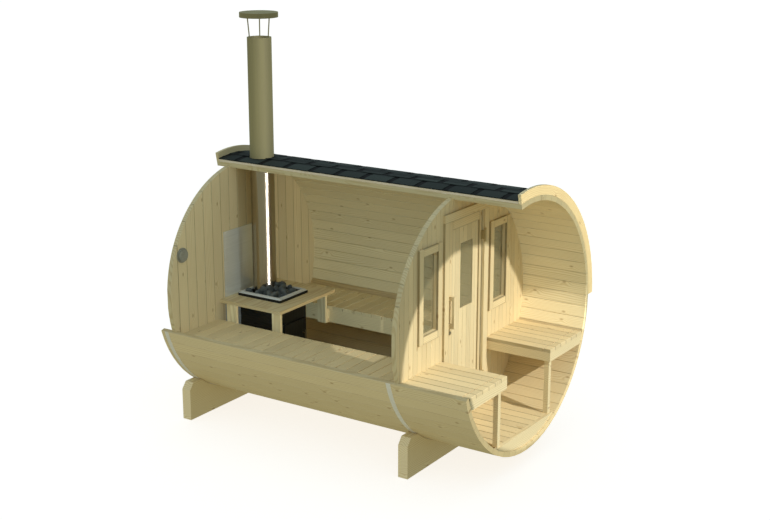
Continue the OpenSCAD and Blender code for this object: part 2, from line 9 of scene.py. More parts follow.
import bmesh
import bpy
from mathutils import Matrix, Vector


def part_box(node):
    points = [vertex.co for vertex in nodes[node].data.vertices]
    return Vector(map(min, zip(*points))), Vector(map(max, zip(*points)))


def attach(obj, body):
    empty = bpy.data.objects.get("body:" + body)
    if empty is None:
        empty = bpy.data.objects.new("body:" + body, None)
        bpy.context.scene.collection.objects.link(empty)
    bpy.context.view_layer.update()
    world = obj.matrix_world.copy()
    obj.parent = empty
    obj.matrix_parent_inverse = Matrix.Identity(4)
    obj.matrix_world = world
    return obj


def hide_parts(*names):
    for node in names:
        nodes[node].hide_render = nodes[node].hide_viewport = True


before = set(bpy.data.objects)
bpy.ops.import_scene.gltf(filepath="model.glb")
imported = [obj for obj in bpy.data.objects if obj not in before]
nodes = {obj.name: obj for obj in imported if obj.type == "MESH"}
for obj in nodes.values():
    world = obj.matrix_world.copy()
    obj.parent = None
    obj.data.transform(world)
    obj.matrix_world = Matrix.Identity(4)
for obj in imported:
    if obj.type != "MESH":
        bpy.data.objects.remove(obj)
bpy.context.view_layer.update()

# %% [markdown]
# ## Where the barrel lies
# Nearly everything here follows the barrel's axis, so its place is read from the frame once. The back
# wall is a full disc, and its middle is the axis. The door wall and the front rim give stations along it.

# %% Stations of the barrel
wall_low, wall_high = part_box("back_wall")
AXIS_X, AXIS_Z = (wall_low.x + wall_high.x) / 2, (wall_low.z + wall_high.z) / 2
WALL_R = (wall_high.x - wall_low.x) / 2
RIM_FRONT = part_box("staves_right")[0].y
DOOR_WALL = [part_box("front_wall_left")[k].y for k in (0, 1)]
BACK_WALL = [wall_low.y, wall_high.y]
STAVES_IN_RING = 64
STAVE_ANGLE = 2 * math.pi / STAVES_IN_RING
print("axis at", round(AXIS_X, 4), round(AXIS_Z, 4), "wall radius", round(WALL_R, 4))

# %% [markdown]
# ## One helper for nodes
# Shader trees and geometry trees are both made of nodes with settings and links. One small function adds
# a node. It takes the node's type, without the "ShaderNode" that most types start with, then the inputs,
# as a list in their order or as a dictionary by name or number, and the operation of a maths node. Other
# settings go by keyword. An input is a value, a socket, or another node whose first live output is taken.
# The filling is a function of its own, because a material's shader is there before its inputs are known.

# %% Add a node
def fill(tree, node, inputs):
    for key, value in inputs.items() if isinstance(inputs, dict) else enumerate(inputs):
        socket = node.inputs[key] if isinstance(key, int) else next(
            s for s in node.inputs if s.name == key and s.enabled)
        if isinstance(value, bpy.types.Node):
            value = next(s for s in value.outputs if s.enabled)
        if isinstance(value, bpy.types.NodeSocket):
            tree.links.new(value, socket)
        else:
            socket.default_value = value
    return node


def add(tree, kind, inputs=(), operation=None, **settings):
    made = tree.nodes.new(kind if "Node" in kind else "ShaderNode" + kind)
    if operation:
        made.operation = operation
    for key, value in settings.items():
        setattr(made, key, value)
    return fill(tree, made, inputs)


def show(name, data):
    """A mesh, a light or a camera as an object at the origin of the scene."""
    made = bpy.data.objects.new(name, data)
    bpy.context.scene.collection.objects.link(made)
    return made


def linear(code, alpha=1.0):
    """An sRGB hex colour such as "E8D2A0" as the linear colour that a shader socket takes."""
    parts = [int(code[k:k + 2], 16) / 255 for k in (0, 2, 4)]
    return [c / 12.92 if c <= 0.04045 else ((c + 0.055) / 1.055) ** 2.4 for c in parts] + [alpha]


def new_material(name):
    """An empty node material, with its Principled shader and the three object axes."""
    material = bpy.data.materials.new(name)
    material.use_nodes = True
    tree = material.node_tree
    tree.nodes.clear()
    shader = add(tree, "BsdfPrincipled")
    add(tree, "OutputMaterial", {"Surface": shader})
    place = add(tree, "TexCoord").outputs["Object"]
    split = add(tree, "SeparateXYZ", [place])
    return material, tree, shader, place, dict(zip("xyz", split.outputs))


print("helpers ready")

# %% [markdown]
# ## Spruce, planed and left clear
# Nearly all of a sauna is spruce. The eye reads it from four things: soft bands of early and late wood
# along the board, fine fibre, small oval knots that the bands flow round, and a slight change of tone
# from one board to the next. An image texture would repeat, so the finish is worked out from the place
# on the object: how far along, across and through the board a point lies, and which board it is on.
# Every lay of boards below gives those four numbers, and one recipe turns them into wood.

# %% The lays of boards
def straight_boards(order, pitch, start):
    """Boards side by side. order names the axes along, across and through a board."""
    def lay(tree, axes):
        along, across, deep = (axes[k] for k in order)
        from_start = add(tree, "Math", [across, start], "SUBTRACT")
        count = add(tree, "Math", [from_start, pitch], "DIVIDE")
        return along, across, deep, count
    return lay


def barrel_angle(tree, axes):
    """Angle about the barrel's axis from the crown, and distance from the axis."""
    x = add(tree, "Math", [axes["x"], AXIS_X], "SUBTRACT")
    z = add(tree, "Math", [axes["z"], AXIS_Z], "SUBTRACT")
    angle = add(tree, "Math", [x, z], "ARCTAN2")
    flat = add(tree, "CombineXYZ", [x, z])
    radius = add(tree, "VectorMath", [flat], "LENGTH").outputs["Value"]
    return angle, radius


def own_boards(order):
    """Boards of a joiner's frame, which carry their number and the share across them as an attribute."""
    def lay(tree, axes):
        along, across, deep = (axes[k] for k in order)
        count = add(tree, "Attribute", attribute_name="board").outputs["Fac"]
        return along, across, deep, count
    return lay


def stave_boards(tree, axes):
    """Staves round the barrel: the board's number is its place in the ring."""
    angle, radius = barrel_angle(tree, axes)
    count = add(tree, "Math", [angle, STAVE_ANGLE], "DIVIDE")
    return axes["y"], angle, radius, count


def arched_board(tree, axes):
    """A fascia bent to the barrel's arc: its grain follows the arc, and it is one board from end to end."""
    angle, radius = barrel_angle(tree, axes)
    count = add(tree, "Math", [angle, 1 / (2 * math.pi), 0.3], "MULTIPLY_ADD")
    return angle, radius, axes["y"], count


print("lays ready")

# %% The spruce recipe
RING_PITCH = 0.013      # spacing of the bands across a flat-sawn face
FIBRE_ACROSS = 1 / 0.004  # fibre streaks are drawn 4 mm wide, coarser than real, so that they show
KNOT_ALONG, KNOT_ACROSS = 1 / 0.30, 1 / 0.15  # one possible knot in each patch of this size
NO_KNOT = 0.55          # share of patches that hold no knot


def spruce(name, lay, early="E7D2A2", late="CBAC73", tone=0.12, joint=0.50, edge=0.045):
    """joint says how dark the painted shade at a board's edges is, and edge which part of the board's width
    it takes.
    """
    material, tree, shader, place, axes = new_material(name)
    along, across, deep, count = lay(tree, axes)
    number = add(tree, "Math", [count], "FLOOR")
    chance = add(tree, "TexWhiteNoise", {"W": number}, noise_dimensions="1D")
    # Each board is cut from another place in the tree, so its pattern is slid by its own random step
    spot = add(tree, "CombineXYZ", [along, across, deep])
    slide = add(tree, "VectorMath", [chance.outputs["Color"], (9.0, 5.0, 3.0)], "MULTIPLY")
    here = add(tree, "VectorMath", [spot, slide], "ADD")
    # Knots: one in some patches, wider along the grain than across it
    patch = add(tree, "VectorMath", [here, (KNOT_ALONG, KNOT_ACROSS, 0.0)], "MULTIPLY")
    knot = add(tree, "TexVoronoi", {"Vector": patch, "Scale": 1.0, "Randomness": 0.8},
               voronoi_dimensions="2D")
    dice = add(tree, "SeparateColor", [knot.outputs["Color"]])
    kept = add(tree, "Math", [dice.outputs[0], NO_KNOT], "GREATER_THAN")
    heart = add(tree, "MapRange",
                {"Value": knot.outputs["Distance"], "From Min": 0.085, "From Max": 0.015, "To Max": 0.60},
                interpolation_type="SMOOTHSTEP")
    knot_mask = add(tree, "Math", [heart, kept], "MULTIPLY")
    swell = add(tree, "MapRange",
                {"Value": knot.outputs["Distance"], "From Min": 0.30, "From Max": 0.02, "To Max": 0.020},
                interpolation_type="SMOOTHSTEP")
    round_knot = add(tree, "Math", [swell, kept], "MULTIPLY")
    # Bands of early and late wood, bent by a slow noise and pushed aside by the knots
    slow = add(tree, "VectorMath", [here, (0.9, 7.0, 7.0)], "MULTIPLY")
    drift = add(tree, "TexNoise", {"Vector": slow, "Scale": 1.0, "Detail": 1.0})
    bent = add(tree, "Math", [drift, 0.085, across], "MULTIPLY_ADD")
    pushed = add(tree, "Math", [bent, round_knot], "ADD")
    phase = add(tree, "Math", [pushed, 2 * math.pi / RING_PITCH], "MULTIPLY")
    bands = add(tree, "Math", [phase], "SINE")
    late_wood = add(tree, "MapRange", {"Value": bands, "From Min": -0.3, "From Max": 1.0},
                    interpolation_type="SMOOTHSTEP")
    # Fibre: a noise drawn out along the board
    drawn = add(tree, "VectorMath", [here, (5.0, FIBRE_ACROSS, FIBRE_ACROSS)], "MULTIPLY")
    fibre = add(tree, "TexNoise", {"Vector": drawn, "Scale": 1.0, "Detail": 3.0, "Roughness": 0.65})
    share = add(tree, "Math", [late_wood, fibre], "MULTIPLY")
    ground = add(tree, "Mix", {"Factor": share, "A": linear(early), "B": linear(late)}, data_type="RGBA")
    # Tone: board by board, with a slow change along each one
    cloud = add(tree, "TexNoise", {"Vector": here, "Scale": 2.2, "Detail": 2.0})
    own = add(tree, "Math", [chance.outputs["Value"], cloud], "ADD")
    value = add(tree, "MapRange", {"Value": own, "From Min": 0.1, "From Max": 1.9,
                                   "To Min": 1.0 - tone, "To Max": 1.0 + tone})
    toned = add(tree, "HueSaturation", {"Color": ground, "Value": value})
    knotted = add(tree, "Mix", {"Factor": knot_mask, "A": toned, "B": linear("9C7440")}, data_type="RGBA")
    # Painted shade, with a little dust, darkens each board towards its edges, where the bevels between
    # boards meet
    part = add(tree, "Math", [count], "FRACT")
    off_middle = add(tree, "Math", [part, 0.5], "SUBTRACT")
    reach = add(tree, "Math", [off_middle], "ABSOLUTE")
    painted_seam_shade = add(tree, "MapRange", {"Value": reach, "From Min": 0.5 - edge, "From Max": 0.5, "To Max": joint},
               interpolation_type="SMOOTHSTEP")
    colour = add(tree, "Mix", {"Factor": painted_seam_shade, "A": knotted, "B": linear("6E5A34")}, data_type="RGBA")
    rough = add(tree, "MapRange", {"Value": fibre, "To Min": 0.48, "To Max": 0.70})
    height = add(tree, "Math", [fibre, share], "SUBTRACT")
    bump = add(tree, "Bump", {"Height": height, "Strength": 0.12, "Distance": 0.0006})
    fill(tree, shader, {"Base Color": colour, "Roughness": rough, "Normal": bump, "IOR": 1.5})
    return material


print("recipe ready")

# %% Spruce for each lay
SLAT_GAP = 0.006
FLOOR_BOARDS, ROOM_SLATS, PORCH_SLATS = 8, 21, 6


def board_pitch(node, axis, number):
    """The step from board to board of a node and where the first one starts."""
    low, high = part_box(node)
    return (high[axis] - low[axis] + SLAT_GAP) / number, low[axis] - SLAT_GAP / 2


def whole_board(order, node):
    """The node's own width is one board, so its outline gets the painted shade of a joint."""
    low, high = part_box(node)
    axis = "xyz".index(order[1])
    return straight_boards(order, high[axis] - low[axis], low[axis])


DOOR_WALL_BOARD, BACK_WALL_BOARD = 0.062, 0.110
spruce_staves = spruce("planed spruce staves", stave_boards, tone=0.07, joint=0.28)
spruce_door_wall = spruce("planed spruce door wall boards", straight_boards("zxy", DOOR_WALL_BOARD, AXIS_X))
spruce_back_wall = spruce("planed spruce back wall boards", straight_boards("zxy", BACK_WALL_BOARD, AXIS_X))
spruce_floor = spruce("planed spruce floor boards",
                      straight_boards("yxz", *board_pitch("room_floor", 0, FLOOR_BOARDS)),
                      joint=0.75, edge=0.07)
spruce_bench = spruce("planed spruce bench slats",
                      straight_boards("xyz", *board_pitch("room_bench_left", 1, ROOM_SLATS)))
spruce_porch = {}
for side in ("left", "right"):
    slats = straight_boards("yxz", *board_pitch("porch_bench_" + side, 0, PORCH_SLATS))
    spruce_porch[side] = spruce("planed spruce " + side + " porch slats", slats, joint=0.65, edge=0.08)
LONE_BOARD = 3.7  # a board wider than any piece, so that the piece is one board
spruce_upright = spruce("planed spruce uprights", straight_boards("zxy", LONE_BOARD, -1.7), early="EAD7A9")
spruce_crosswise = spruce("planed spruce rails across", straight_boards("xzy", LONE_BOARD, -1.2),
                          early="EAD7A9")
spruce_lengthwise = spruce("planed spruce rails along", straight_boards("yzx", LONE_BOARD, -1.2))
spruce_jamb = spruce("planed spruce door jamb", whole_board("zxy", "door_frame_left"), joint=0.45,
                     edge=0.08)
spruce_head = spruce("planed spruce door head", whole_board("xzy", "door_frame_head"), joint=0.45,
                     edge=0.08)
spruce_stile = spruce("planed spruce stiles", own_boards("zxy"), joint=0.6, edge=0.12)
spruce_rail = spruce("planed spruce rails", own_boards("xzy"), joint=0.6, edge=0.12)
spruce_arch = spruce("planed spruce fascia", arched_board, early="EAD7A9", tone=0.08)
# The roof boards are painted nearly white, a painted highlight that makes their cut edge under the shingles
# read as a lit line
spruce_deck = spruce("roof boards painted pale as if lit", stave_boards, early="FFF6DC", late="F3E4BE", tone=0.04)
print("spruce lays:", len([m for m in bpy.data.materials if m.name.startswith("planed")]))

# %% [markdown]
# ## Metals, glass, stove paint and stone
# The chimney is polished stainless steel, tinted warm brown as a painted reflection of the wood round it.
# The hoops are galvanised band, the heat shield is rolled sheet, and the stove is sheet steel under matt
# black stove paint. Each gets the small unevenness that its making leaves: brushing, spangle, rolling
# streaks or paint orange peel.

# %% Metals
def metal(name, colour, dark, rough_low, rough_high, streaks, bare=1.0):
    """streaks are the pattern's repeats per metre along x, y and z: few along a rolling direction.
    bare is 1 for bare metal, 0 for a painted one, and between them for a thin clear or milky coat."""
    material, tree, shader, place, axes = new_material(name)
    drawn = add(tree, "VectorMath", [place, streaks], "MULTIPLY")
    grain = add(tree, "TexNoise", {"Vector": drawn, "Scale": 1.0, "Detail": 4.0, "Roughness": 0.6})
    clouds = add(tree, "TexNoise", {"Vector": place, "Scale": 3.0, "Detail": 2.0})
    both = add(tree, "Math", [grain, clouds], "MULTIPLY")
    share = add(tree, "MapRange", {"Value": both, "From Min": 0.12, "From Max": 0.42})
    tint = add(tree, "Mix", {"Factor": share, "A": linear(dark), "B": linear(colour)}, data_type="RGBA")
    rough = add(tree, "MapRange", {"Value": grain, "To Min": rough_low, "To Max": rough_high})
    rise = add(tree, "Bump", {"Height": grain, "Strength": 0.05, "Distance": 0.0004})
    fill(tree, shader, {"Base Color": tint, "Roughness": rough, "Normal": rise, "Metallic": bare})
    return material


hoop_steel = metal("galvanised band", "FBF6EA", "E6E0D2", 0.38, 0.55, (50.0, 50.0, 50.0), bare=0.3)
fitting_steel = metal("satin zinc fittings", "BDB6A2", "A39C88", 0.40, 0.55, (120.0, 120.0, 120.0))
yellow_zinc = metal("yellow zinc", "CDB783", "B7A06C", 0.40, 0.55, (200.0, 200.0, 200.0), bare=0.2)
shield_steel = metal("rolled shield sheet", "F2EEE0", "E2DECE", 0.18, 0.26, (3.0, 3.0, 90.0), bare=0.35)
vent_grey = metal("grey painted vent", "9A9684", "848070", 0.45, 0.60, (30.0, 30.0, 30.0), bare=0.0)
print("metals ready")

# %% [markdown]
# The flue changes at the ceiling: bright polished pipe in the room, tinted warm brown as a painted
# reflection of the wood round it, and above the roof a matt outer jacket in khaki. The stove's top does
# too: a rim painted near-white and matt, a painted shine in place of bare steel, on a black collar. Both
# are one solid in the frame, so their finish changes with height, by a sharp step at the joint.

# %% Finishes that change with height
def stepped(name, height, under, over, metallic, streaks):
    """under and over, below and above the height, are (light, dark, lowest and highest roughness)."""
    material, tree, shader, place, axes = new_material(name)
    drawn = add(tree, "VectorMath", [place, streaks], "MULTIPLY")
    grain = add(tree, "TexNoise", {"Vector": drawn, "Scale": 1.0, "Detail": 4.0, "Roughness": 0.6})
    above = add(tree, "Math", [axes["z"], height], "GREATER_THAN")
    tints = [add(tree, "Mix", {"Factor": grain, "A": linear(dark), "B": linear(light)}, data_type="RGBA")
             for light, dark, smooth, rough in (under, over)]
    gloss = [add(tree, "MapRange", {"Value": grain, "To Min": smooth, "To Max": rough})
             for light, dark, smooth, rough in (under, over)]
    tint = add(tree, "Mix", {"Factor": above, "A": tints[0], "B": tints[1]}, data_type="RGBA")
    rough = add(tree, "Mix", {"Factor": above, "A": gloss[0], "B": gloss[1]}, data_type="FLOAT")
    rise = add(tree, "Bump", {"Height": grain, "Strength": 0.01, "Distance": 0.0004})
    fill(tree, shader, {"Base Color": tint, "Roughness": rough, "Normal": rise, "Metallic": metallic})
    return material


CEILING_R = 0.97     # from the barrel's axis up to the joint of pipe and jacket
RIM_PLATE = 0.0121   # the rim's thickness and a hair, so that the step lies just under its edge
# The polished pipe's warm brown tint is a painted reflection of the wood round it, and the rim's near-white
# matt paint is a painted shine of bare steel
POLISHED, DULLED = ("AEA28C", "9A8E78", 0.18, 0.24), ("C0B688", "9B9170", 0.70, 0.85)
BLACK, PALE_PAINTED_SHINE = ("1B1C1B", "101110", 0.5, 0.7), ("F4F3EE", "E2E1DB", 0.25, 0.40)
flue_steel = stepped("stainless flue", AXIS_Z + CEILING_R, POLISHED, DULLED, 1.0, (22.0, 22.0, 0.8))
rim_steel = stepped("stove rim on its collar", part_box("stove_top")[1].z - RIM_PLATE, BLACK, PALE_PAINTED_SHINE, 0.0,
                    (8.0, 120.0, 120.0))
print("stepped finishes ready")

# %% Stove paint, stone and glass
RIB_PITCH = 0.022


def stove_paint():
    """Matt black paint on sheet steel: nearly no shine, fine orange peel, greyer where it has been hot."""
    material, tree, shader, place, axes = new_material("matt black stove paint")
    heat = add(tree, "TexNoise", {"Vector": place, "Scale": 5.0, "Detail": 3.0})
    tint = add(tree, "Mix", {"Factor": heat, "A": linear("151615"), "B": linear("30312E")},
               data_type="RGBA")
    peel = add(tree, "TexNoise", {"Vector": place, "Scale": 1 / 0.003, "Detail": 2.0})
    rough = add(tree, "MapRange", {"Value": heat, "To Min": 0.50, "To Max": 0.72})
    # Ribs pressed into the sheet: level on the sides, upright on the front
    facing = add(tree, "SeparateXYZ", [add(tree, "NewGeometry").outputs["Normal"]])
    size = add(tree, "Math", [facing.outputs[1]], "ABSOLUTE")
    front = add(tree, "Math", [size, 0.5], "GREATER_THAN")
    run = add(tree, "Mix", {"Factor": front, "A": axes["z"], "B": axes["x"]}, data_type="FLOAT")
    turn = add(tree, "Math", [run, 2 * math.pi / RIB_PITCH], "MULTIPLY")
    rib = add(tree, "MapRange",
              {"Value": add(tree, "Math", [turn], "SINE"), "From Min": 0.2, "From Max": 0.9})
    relief = add(tree, "Math", [rib, 8.0, peel], "MULTIPLY_ADD")
    rise = add(tree, "Bump", {"Height": relief, "Strength": 0.5, "Distance": 0.0006})
    fill(tree, shader, {"Base Color": tint, "Roughness": rough, "Normal": rise})
    return material


def heater_stone():
    """Broken dark peridotite: grey-green, speckled with crystals, rough on every break."""
    material, tree, shader, place, axes = new_material("broken heater stone")
    patches = add(tree, "TexNoise", {"Vector": place, "Scale": 1 / 0.045, "Detail": 4.0})
    tint = add(tree, "Mix", {"Factor": patches, "A": linear("3A3E3E"), "B": linear("777C7A")},
               data_type="RGBA")
    crystal = add(tree, "TexVoronoi", {"Vector": place, "Scale": 1 / 0.008})
    speck = add(tree, "MapRange", {"Value": crystal, "From Min": 0.30, "From Max": 0.0, "To Max": 0.5})
    colour = add(tree, "Mix", {"Factor": speck, "A": tint, "B": linear("9DA19C")}, data_type="RGBA")
    pits = add(tree, "TexNoise", {"Vector": place, "Scale": 1 / 0.006, "Detail": 5.0})
    rise = add(tree, "Bump", {"Height": pits, "Strength": 0.5, "Distance": 0.002})
    rough = add(tree, "MapRange", {"Value": pits, "To Min": 0.75, "To Max": 0.95})
    fill(tree, shader, {"Base Color": colour, "Roughness": rough, "Normal": rise})
    return material


def window_glass():
    """Clear float glass, seen as a thin film: mostly see-through, with a faint warm-grey body and gloss."""
    material, tree, shader, place, axes = new_material("clear float glass")
    haze = add(tree, "TexNoise", {"Vector": place, "Scale": 6.0, "Detail": 2.0})
    tint = add(tree, "Mix", {"Factor": haze, "A": linear("8A7F5A"), "B": linear("A0956D")},
               data_type="RGBA")
    rough = add(tree, "MapRange", {"Value": haze, "To Min": 0.02, "To Max": 0.06})
    fill(tree, shader, {"Base Color": tint, "Roughness": rough, "IOR": 1.52, "Alpha": 0.32})
    return material


stove_black, stone_grey, clear_glass = stove_paint(), heater_stone(), window_glass()
print("paint, stone and glass ready")

# %% [markdown]
# ## Finish the solids that stay
# Most solids are shown as they come and only need a material. One table says which finish goes on which.

# %% Finish the carried-over solids
FINISHES = {
    spruce_staves: ["staves_top", "staves_right", "staves_bottom_right", "staves_bottom_left"],
    spruce_deck: ["roof_deck"],
    spruce_floor: ["porch_floor", "room_floor"],
    spruce_bench: ["room_bench_left", "room_bench_right"],
    spruce_porch["left"]: ["porch_bench_left"],
    spruce_porch["right"]: ["porch_bench_right"],
    spruce_jamb: ["door_frame_left"],
    spruce_head: ["door_frame_head"],
    spruce_upright: ["door_frame_right", "guard_posts", "door_pull"],
    spruce_crosswise: ["cradle_front", "cradle_back", "porch_bearers", "room_bearers",
                       "porch_bench_frame_left", "porch_bench_frame_right", "guard_top"],
    spruce_lengthwise: ["room_bench_frame_left", "room_bench_frame_right"],
    spruce_arch: ["roof_fascia_front", "roof_fascia_back"],
    hoop_steel: ["hoop_front", "hoop_back"],
    flue_steel: ["chimney_pipe", "chimney_cap", "chimney_rods"],
    shield_steel: ["heat_shield"],
    vent_grey: ["vent"],
    fitting_steel: ["door_lock", "stove_handle"],
    yellow_zinc: ["door_hinges", "door_hinge_frame"],
    rim_steel: ["stove_top"],
    stove_black: ["stove_body", "stove_lugs", "stove_door"],
    clear_glass: ["door_pane", "window_pane_left", "window_pane_right"],
}
for material, names in FINISHES.items():
    for name in names:
        nodes[name].data.materials.clear()
        nodes[name].data.materials.append(material)
print("finished", sum(map(len, FINISHES.values())), "solids")

# %% [markdown]
# ## Boarded walls
# The two end walls are upright boards with a small V where they meet. The frame has each wall as one
# slab, so the boards are made here as meshes: a board is a row of stations from edge to edge, each with
# a front and a back, and a foot and a head that follow the circle of the wall. Doorway and windows cut
# a board into lengths. Chamfers at the true edges make the V, and catch the light as real ones do.

# %% Build boards
def piece_from(name, verts, faces, materials, body, replaced=(), face_materials=None, boards=None):
    """A finished piece at the origin that rides on a body and stands for the named nodes."""
    mesh = bpy.data.meshes.new(name)
    mesh.from_pydata(verts, [], faces)
    for material in materials:
        mesh.materials.append(material)
    if face_materials:
        mesh.polygons.foreach_set("material_index", face_materials)
    if boards:
        mesh.attributes.new("board", "FLOAT", "POINT").data.foreach_set("value", boards)
    mesh.update()
    made = show(name, mesh)
    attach(made, body)
    if replaced:
        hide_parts(*replaced)
    return made


def upright_board(verts, faces, stations, foot, head):
    """stations are (x, y front, y back). foot and head give a z for an x."""
    first = len(verts)
    for x, front, back in stations:
        verts += [(x, front, foot(x)), (x, front, head(x)), (x, back, foot(x)), (x, back, head(x))]
    for k in range(len(stations) - 1):
        a, b = first + 4 * k, first + 4 * k + 4
        faces += [(a, b, b + 1, a + 1), (a + 2, a + 3, b + 3, b + 2), (a, a + 2, b + 2, b),
                  (a + 1, b + 1, b + 3, a + 3)]
    last = first + 4 * (len(stations) - 1)
    faces += [(first, first + 1, first + 3, first + 2), (last, last + 2, last + 3, last + 1)]


CHAMFER = 0.003
STATION_STEP = 0.012


def lay_boards(verts, faces, x_range, start, pitch, y_front, y_back, foot, head, holes):
    """Upright boards from foot(x) to head(x). holes are (x0, x1, under(x), over(x))."""
    x_low, x_high = x_range
    first, last = (math.floor((x_low - start) / pitch), math.ceil((x_high - start) / pitch))
    for k in range(first, last):
        x0, x1 = (max(x_low, min(x_high, start + (k + j) * pitch)) for j in (0, 1))
        cuts = sorted({x0, x1, *(x for h in holes for x in h[:2] if x0 < x < x1)})
        for a, b in zip(cuts, cuts[1:]):
            steps = max(1, math.ceil((b - a) / STATION_STEP))
            true_edges = [x for x in (a, b) if x in (x0, x1)]
            chamfers = [a + CHAMFER] * (a == x0) + [b - CHAMFER] * (b == x1)
            xs = sorted({*(a + (b - a) * s / steps for s in range(steps + 1)), *chamfers})
            stations = [(x, y_front + CHAMFER * (x in true_edges),
                         y_back - CHAMFER * (x in true_edges)) for x in xs]
            spans = [(foot, head)]
            for x_from, x_to, under, over in holes:
                if x_from < (a + b) / 2 < x_to:
                    low, high = spans.pop()
                    spans += [(low, under), (over, high)]
            for low, high in spans:
                middle = (a + b) / 2
                if high(middle) - low(middle) > CHAMFER:
                    upright_board(verts, faces, stations, low, high)


def level(z):
    return lambda x: z


def square_hole(x0, x1, z0, z1):
    return x0, x1, level(z0), level(z1)


def round_hole(x, z, radius):
    arc = lambda at: math.sqrt(max(0.0, radius ** 2 - (at - x) ** 2))
    return x - radius, x + radius, lambda at: z - arc(at), lambda at: z + arc(at)


def boarded_wall(name, board, finish, y_front, y_back, holes, replaced):
    verts, faces = [], []
    circle = round_hole(AXIS_X, AXIS_Z, WALL_R)
    lay_boards(verts, faces, circle[:2], AXIS_X, board, y_front, y_back, *circle[2:], holes)
    return piece_from(name, verts, faces, [finish], "sauna", replaced)


sill_low, sill_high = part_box("front_wall_sill")
door_holes = [square_hole(sill_low.x, sill_high.x, sill_high.z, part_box("front_wall_header")[0].z)]
for side in ("left", "right"):
    low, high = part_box("window_pane_" + side)
    door_holes.append(square_hole(low.x, high.x, low.z, high.z))
door_wall = boarded_wall("door_wall_boards", DOOR_WALL_BOARD, spruce_door_wall, *DOOR_WALL, door_holes,
                         ["front_wall_left", "front_wall_right", "front_wall_header", "front_wall_sill"])
vent_low, vent_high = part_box("vent")
VENT_FLANGE = 0.010
VENT_TUBE_R = (vent_high.x - vent_low.x) / 2 - VENT_FLANGE
vent_hole = round_hole((vent_low.x + vent_high.x) / 2, (vent_low.z + vent_high.z) / 2, VENT_TUBE_R)
back_wall = boarded_wall("back_wall_boards", BACK_WALL_BOARD, spruce_back_wall, *BACK_WALL, [vent_hole],
                         ["back_wall"])
print("wall boards:", len(door_wall.data.polygons), "and", len(back_wall.data.polygons), "faces")

# %% [markdown]
# ## Door leaf and window casings
# The door is a frame of stiles and rails round upright boards, and each window has a casing of four
# boards. In the frame they are plain solids. Here every board is a block of its own with eased edges and
# its grain along its length, which is what tells a joiner's frame from a cut-out panel.

# %% Blocks with eased edges
EASED = 0.002


def block(verts, faces, boards, low, high, axis):
    """Adds a box with rounded edges to the lists, and for every corner the board's number plus its share
    across the board, along the given axis. Returns how many faces the box has."""
    shape = bmesh.new()
    bmesh.ops.create_cube(shape, size=1.0)
    for v in shape.verts:
        v.co = Vector([a + (c + 0.5) * (b - a) for a, b, c in zip(low, high, v.co)])
    bmesh.ops.bevel(shape, geom=shape.edges[:], offset=EASED, segments=2, affect="EDGES", profile=0.5)
    first = len(verts)
    shape.verts.index_update()
    verts += [tuple(v.co) for v in shape.verts]
    number = math.floor(boards[-1]) + 1 if boards else 0
    # The share stops just short of 0 and 1, so that no corner falls into the next board
    boards += [number + 0.998 * (v.co[axis] - low[axis]) / (high[axis] - low[axis]) + 0.001
               for v in shape.verts]
    made = [tuple(first + v.index for v in f.verts) for f in shape.faces]
    shape.free()
    faces += made
    return len(made)


def board_frame(verts, faces, boards, kinds, low, high, uprights, rails, gap=0.0006):
    """Four boards round an opening: two uprights of full height, and two rails between them."""
    y0, y1 = low[1], high[1]
    left, right = low[0] + uprights[0], high[0] - uprights[1]
    for x0, x1 in ((low[0], left), (right, high[0])):
        kinds += [0] * block(verts, faces, boards, (x0, y0, low[2]), (x1, y1, high[2]), 0)
    for z0, z1 in ((low[2], low[2] + rails[0]), (high[2] - rails[1], high[2])):
        kinds += [1] * block(verts, faces, boards, (left + gap, y0, z0), (right - gap, y1, z1), 2)


print("blocks ready")

# %% Casings and door
CASING_BOARD = 0.060
for side in ("left", "right"):
    name = "window_casing_" + side
    verts, faces, boards, kinds = [], [], [], []
    low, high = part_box(name)
    board_frame(verts, faces, boards, kinds, low, high, (CASING_BOARD,) * 2, (CASING_BOARD,) * 2)
    piece_from("window_boards_" + side, verts, faces, [spruce_stile, spruce_rail], "sauna",
               [name], kinds, boards)

leaf_low, leaf_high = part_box("door_leaf")
pane_low, pane_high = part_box("door_pane")
LATCH_STILE, HINGE_STILE, DOOR_RAIL, PANEL_SET = 0.072, 0.036, 0.072, 0.012
SHADOW_LINE = Vector((0.003, 0.0, 0.003))
DOOR_BOARD = 0.061
verts, faces, boards, kinds = [], [], [], []
board_frame(verts, faces, boards, kinds, leaf_low + SHADOW_LINE, leaf_high - SHADOW_LINE,
            (LATCH_STILE, HINGE_STILE), (DOOR_RAIL, DOOR_RAIL))
panel_left, panel_right = leaf_low.x + LATCH_STILE, leaf_high.x - HINGE_STILE
spruce_door = spruce("planed spruce door boards", straight_boards("zxy", DOOR_BOARD, panel_left),
                     early="EAD7A9")
frame_faces = len(faces)
lay_boards(verts, faces, (panel_left, panel_right), panel_left, DOOR_BOARD, leaf_low.y + PANEL_SET,
           leaf_high.y, level(leaf_low.z + DOOR_RAIL), level(leaf_high.z - DOOR_RAIL),
           [square_hole(pane_low.x, pane_high.x, pane_low.z, pane_high.z)])
kinds += [2] * (len(faces) - frame_faces)
boards += [0.5] * (len(verts) - len(boards))
door_boards = piece_from("door_boards", verts, faces, [spruce_stile, spruce_rail, spruce_door], "door",
                         ["door_leaf"], kinds, boards)
print("door boards:", len(door_boards.data.polygons), "faces")

# %% [markdown]
# ## Shingles
# The roof is covered with bitumen shingles: strips with square tabs, laid in rows from the eaves to the
# crown so that every row laps the one below and the joints of one row fall between those of the next.
# The easy way to lay a bent roof is to lay it flat and bend it afterwards. Geometry Nodes set one tab at
# every point of a flat grid, shift each second row by half a tab, tilt the tabs so that they lap, and
# then bend the whole sheet round the barrel's axis. A clamp on the flat sheet trims it at the edges.

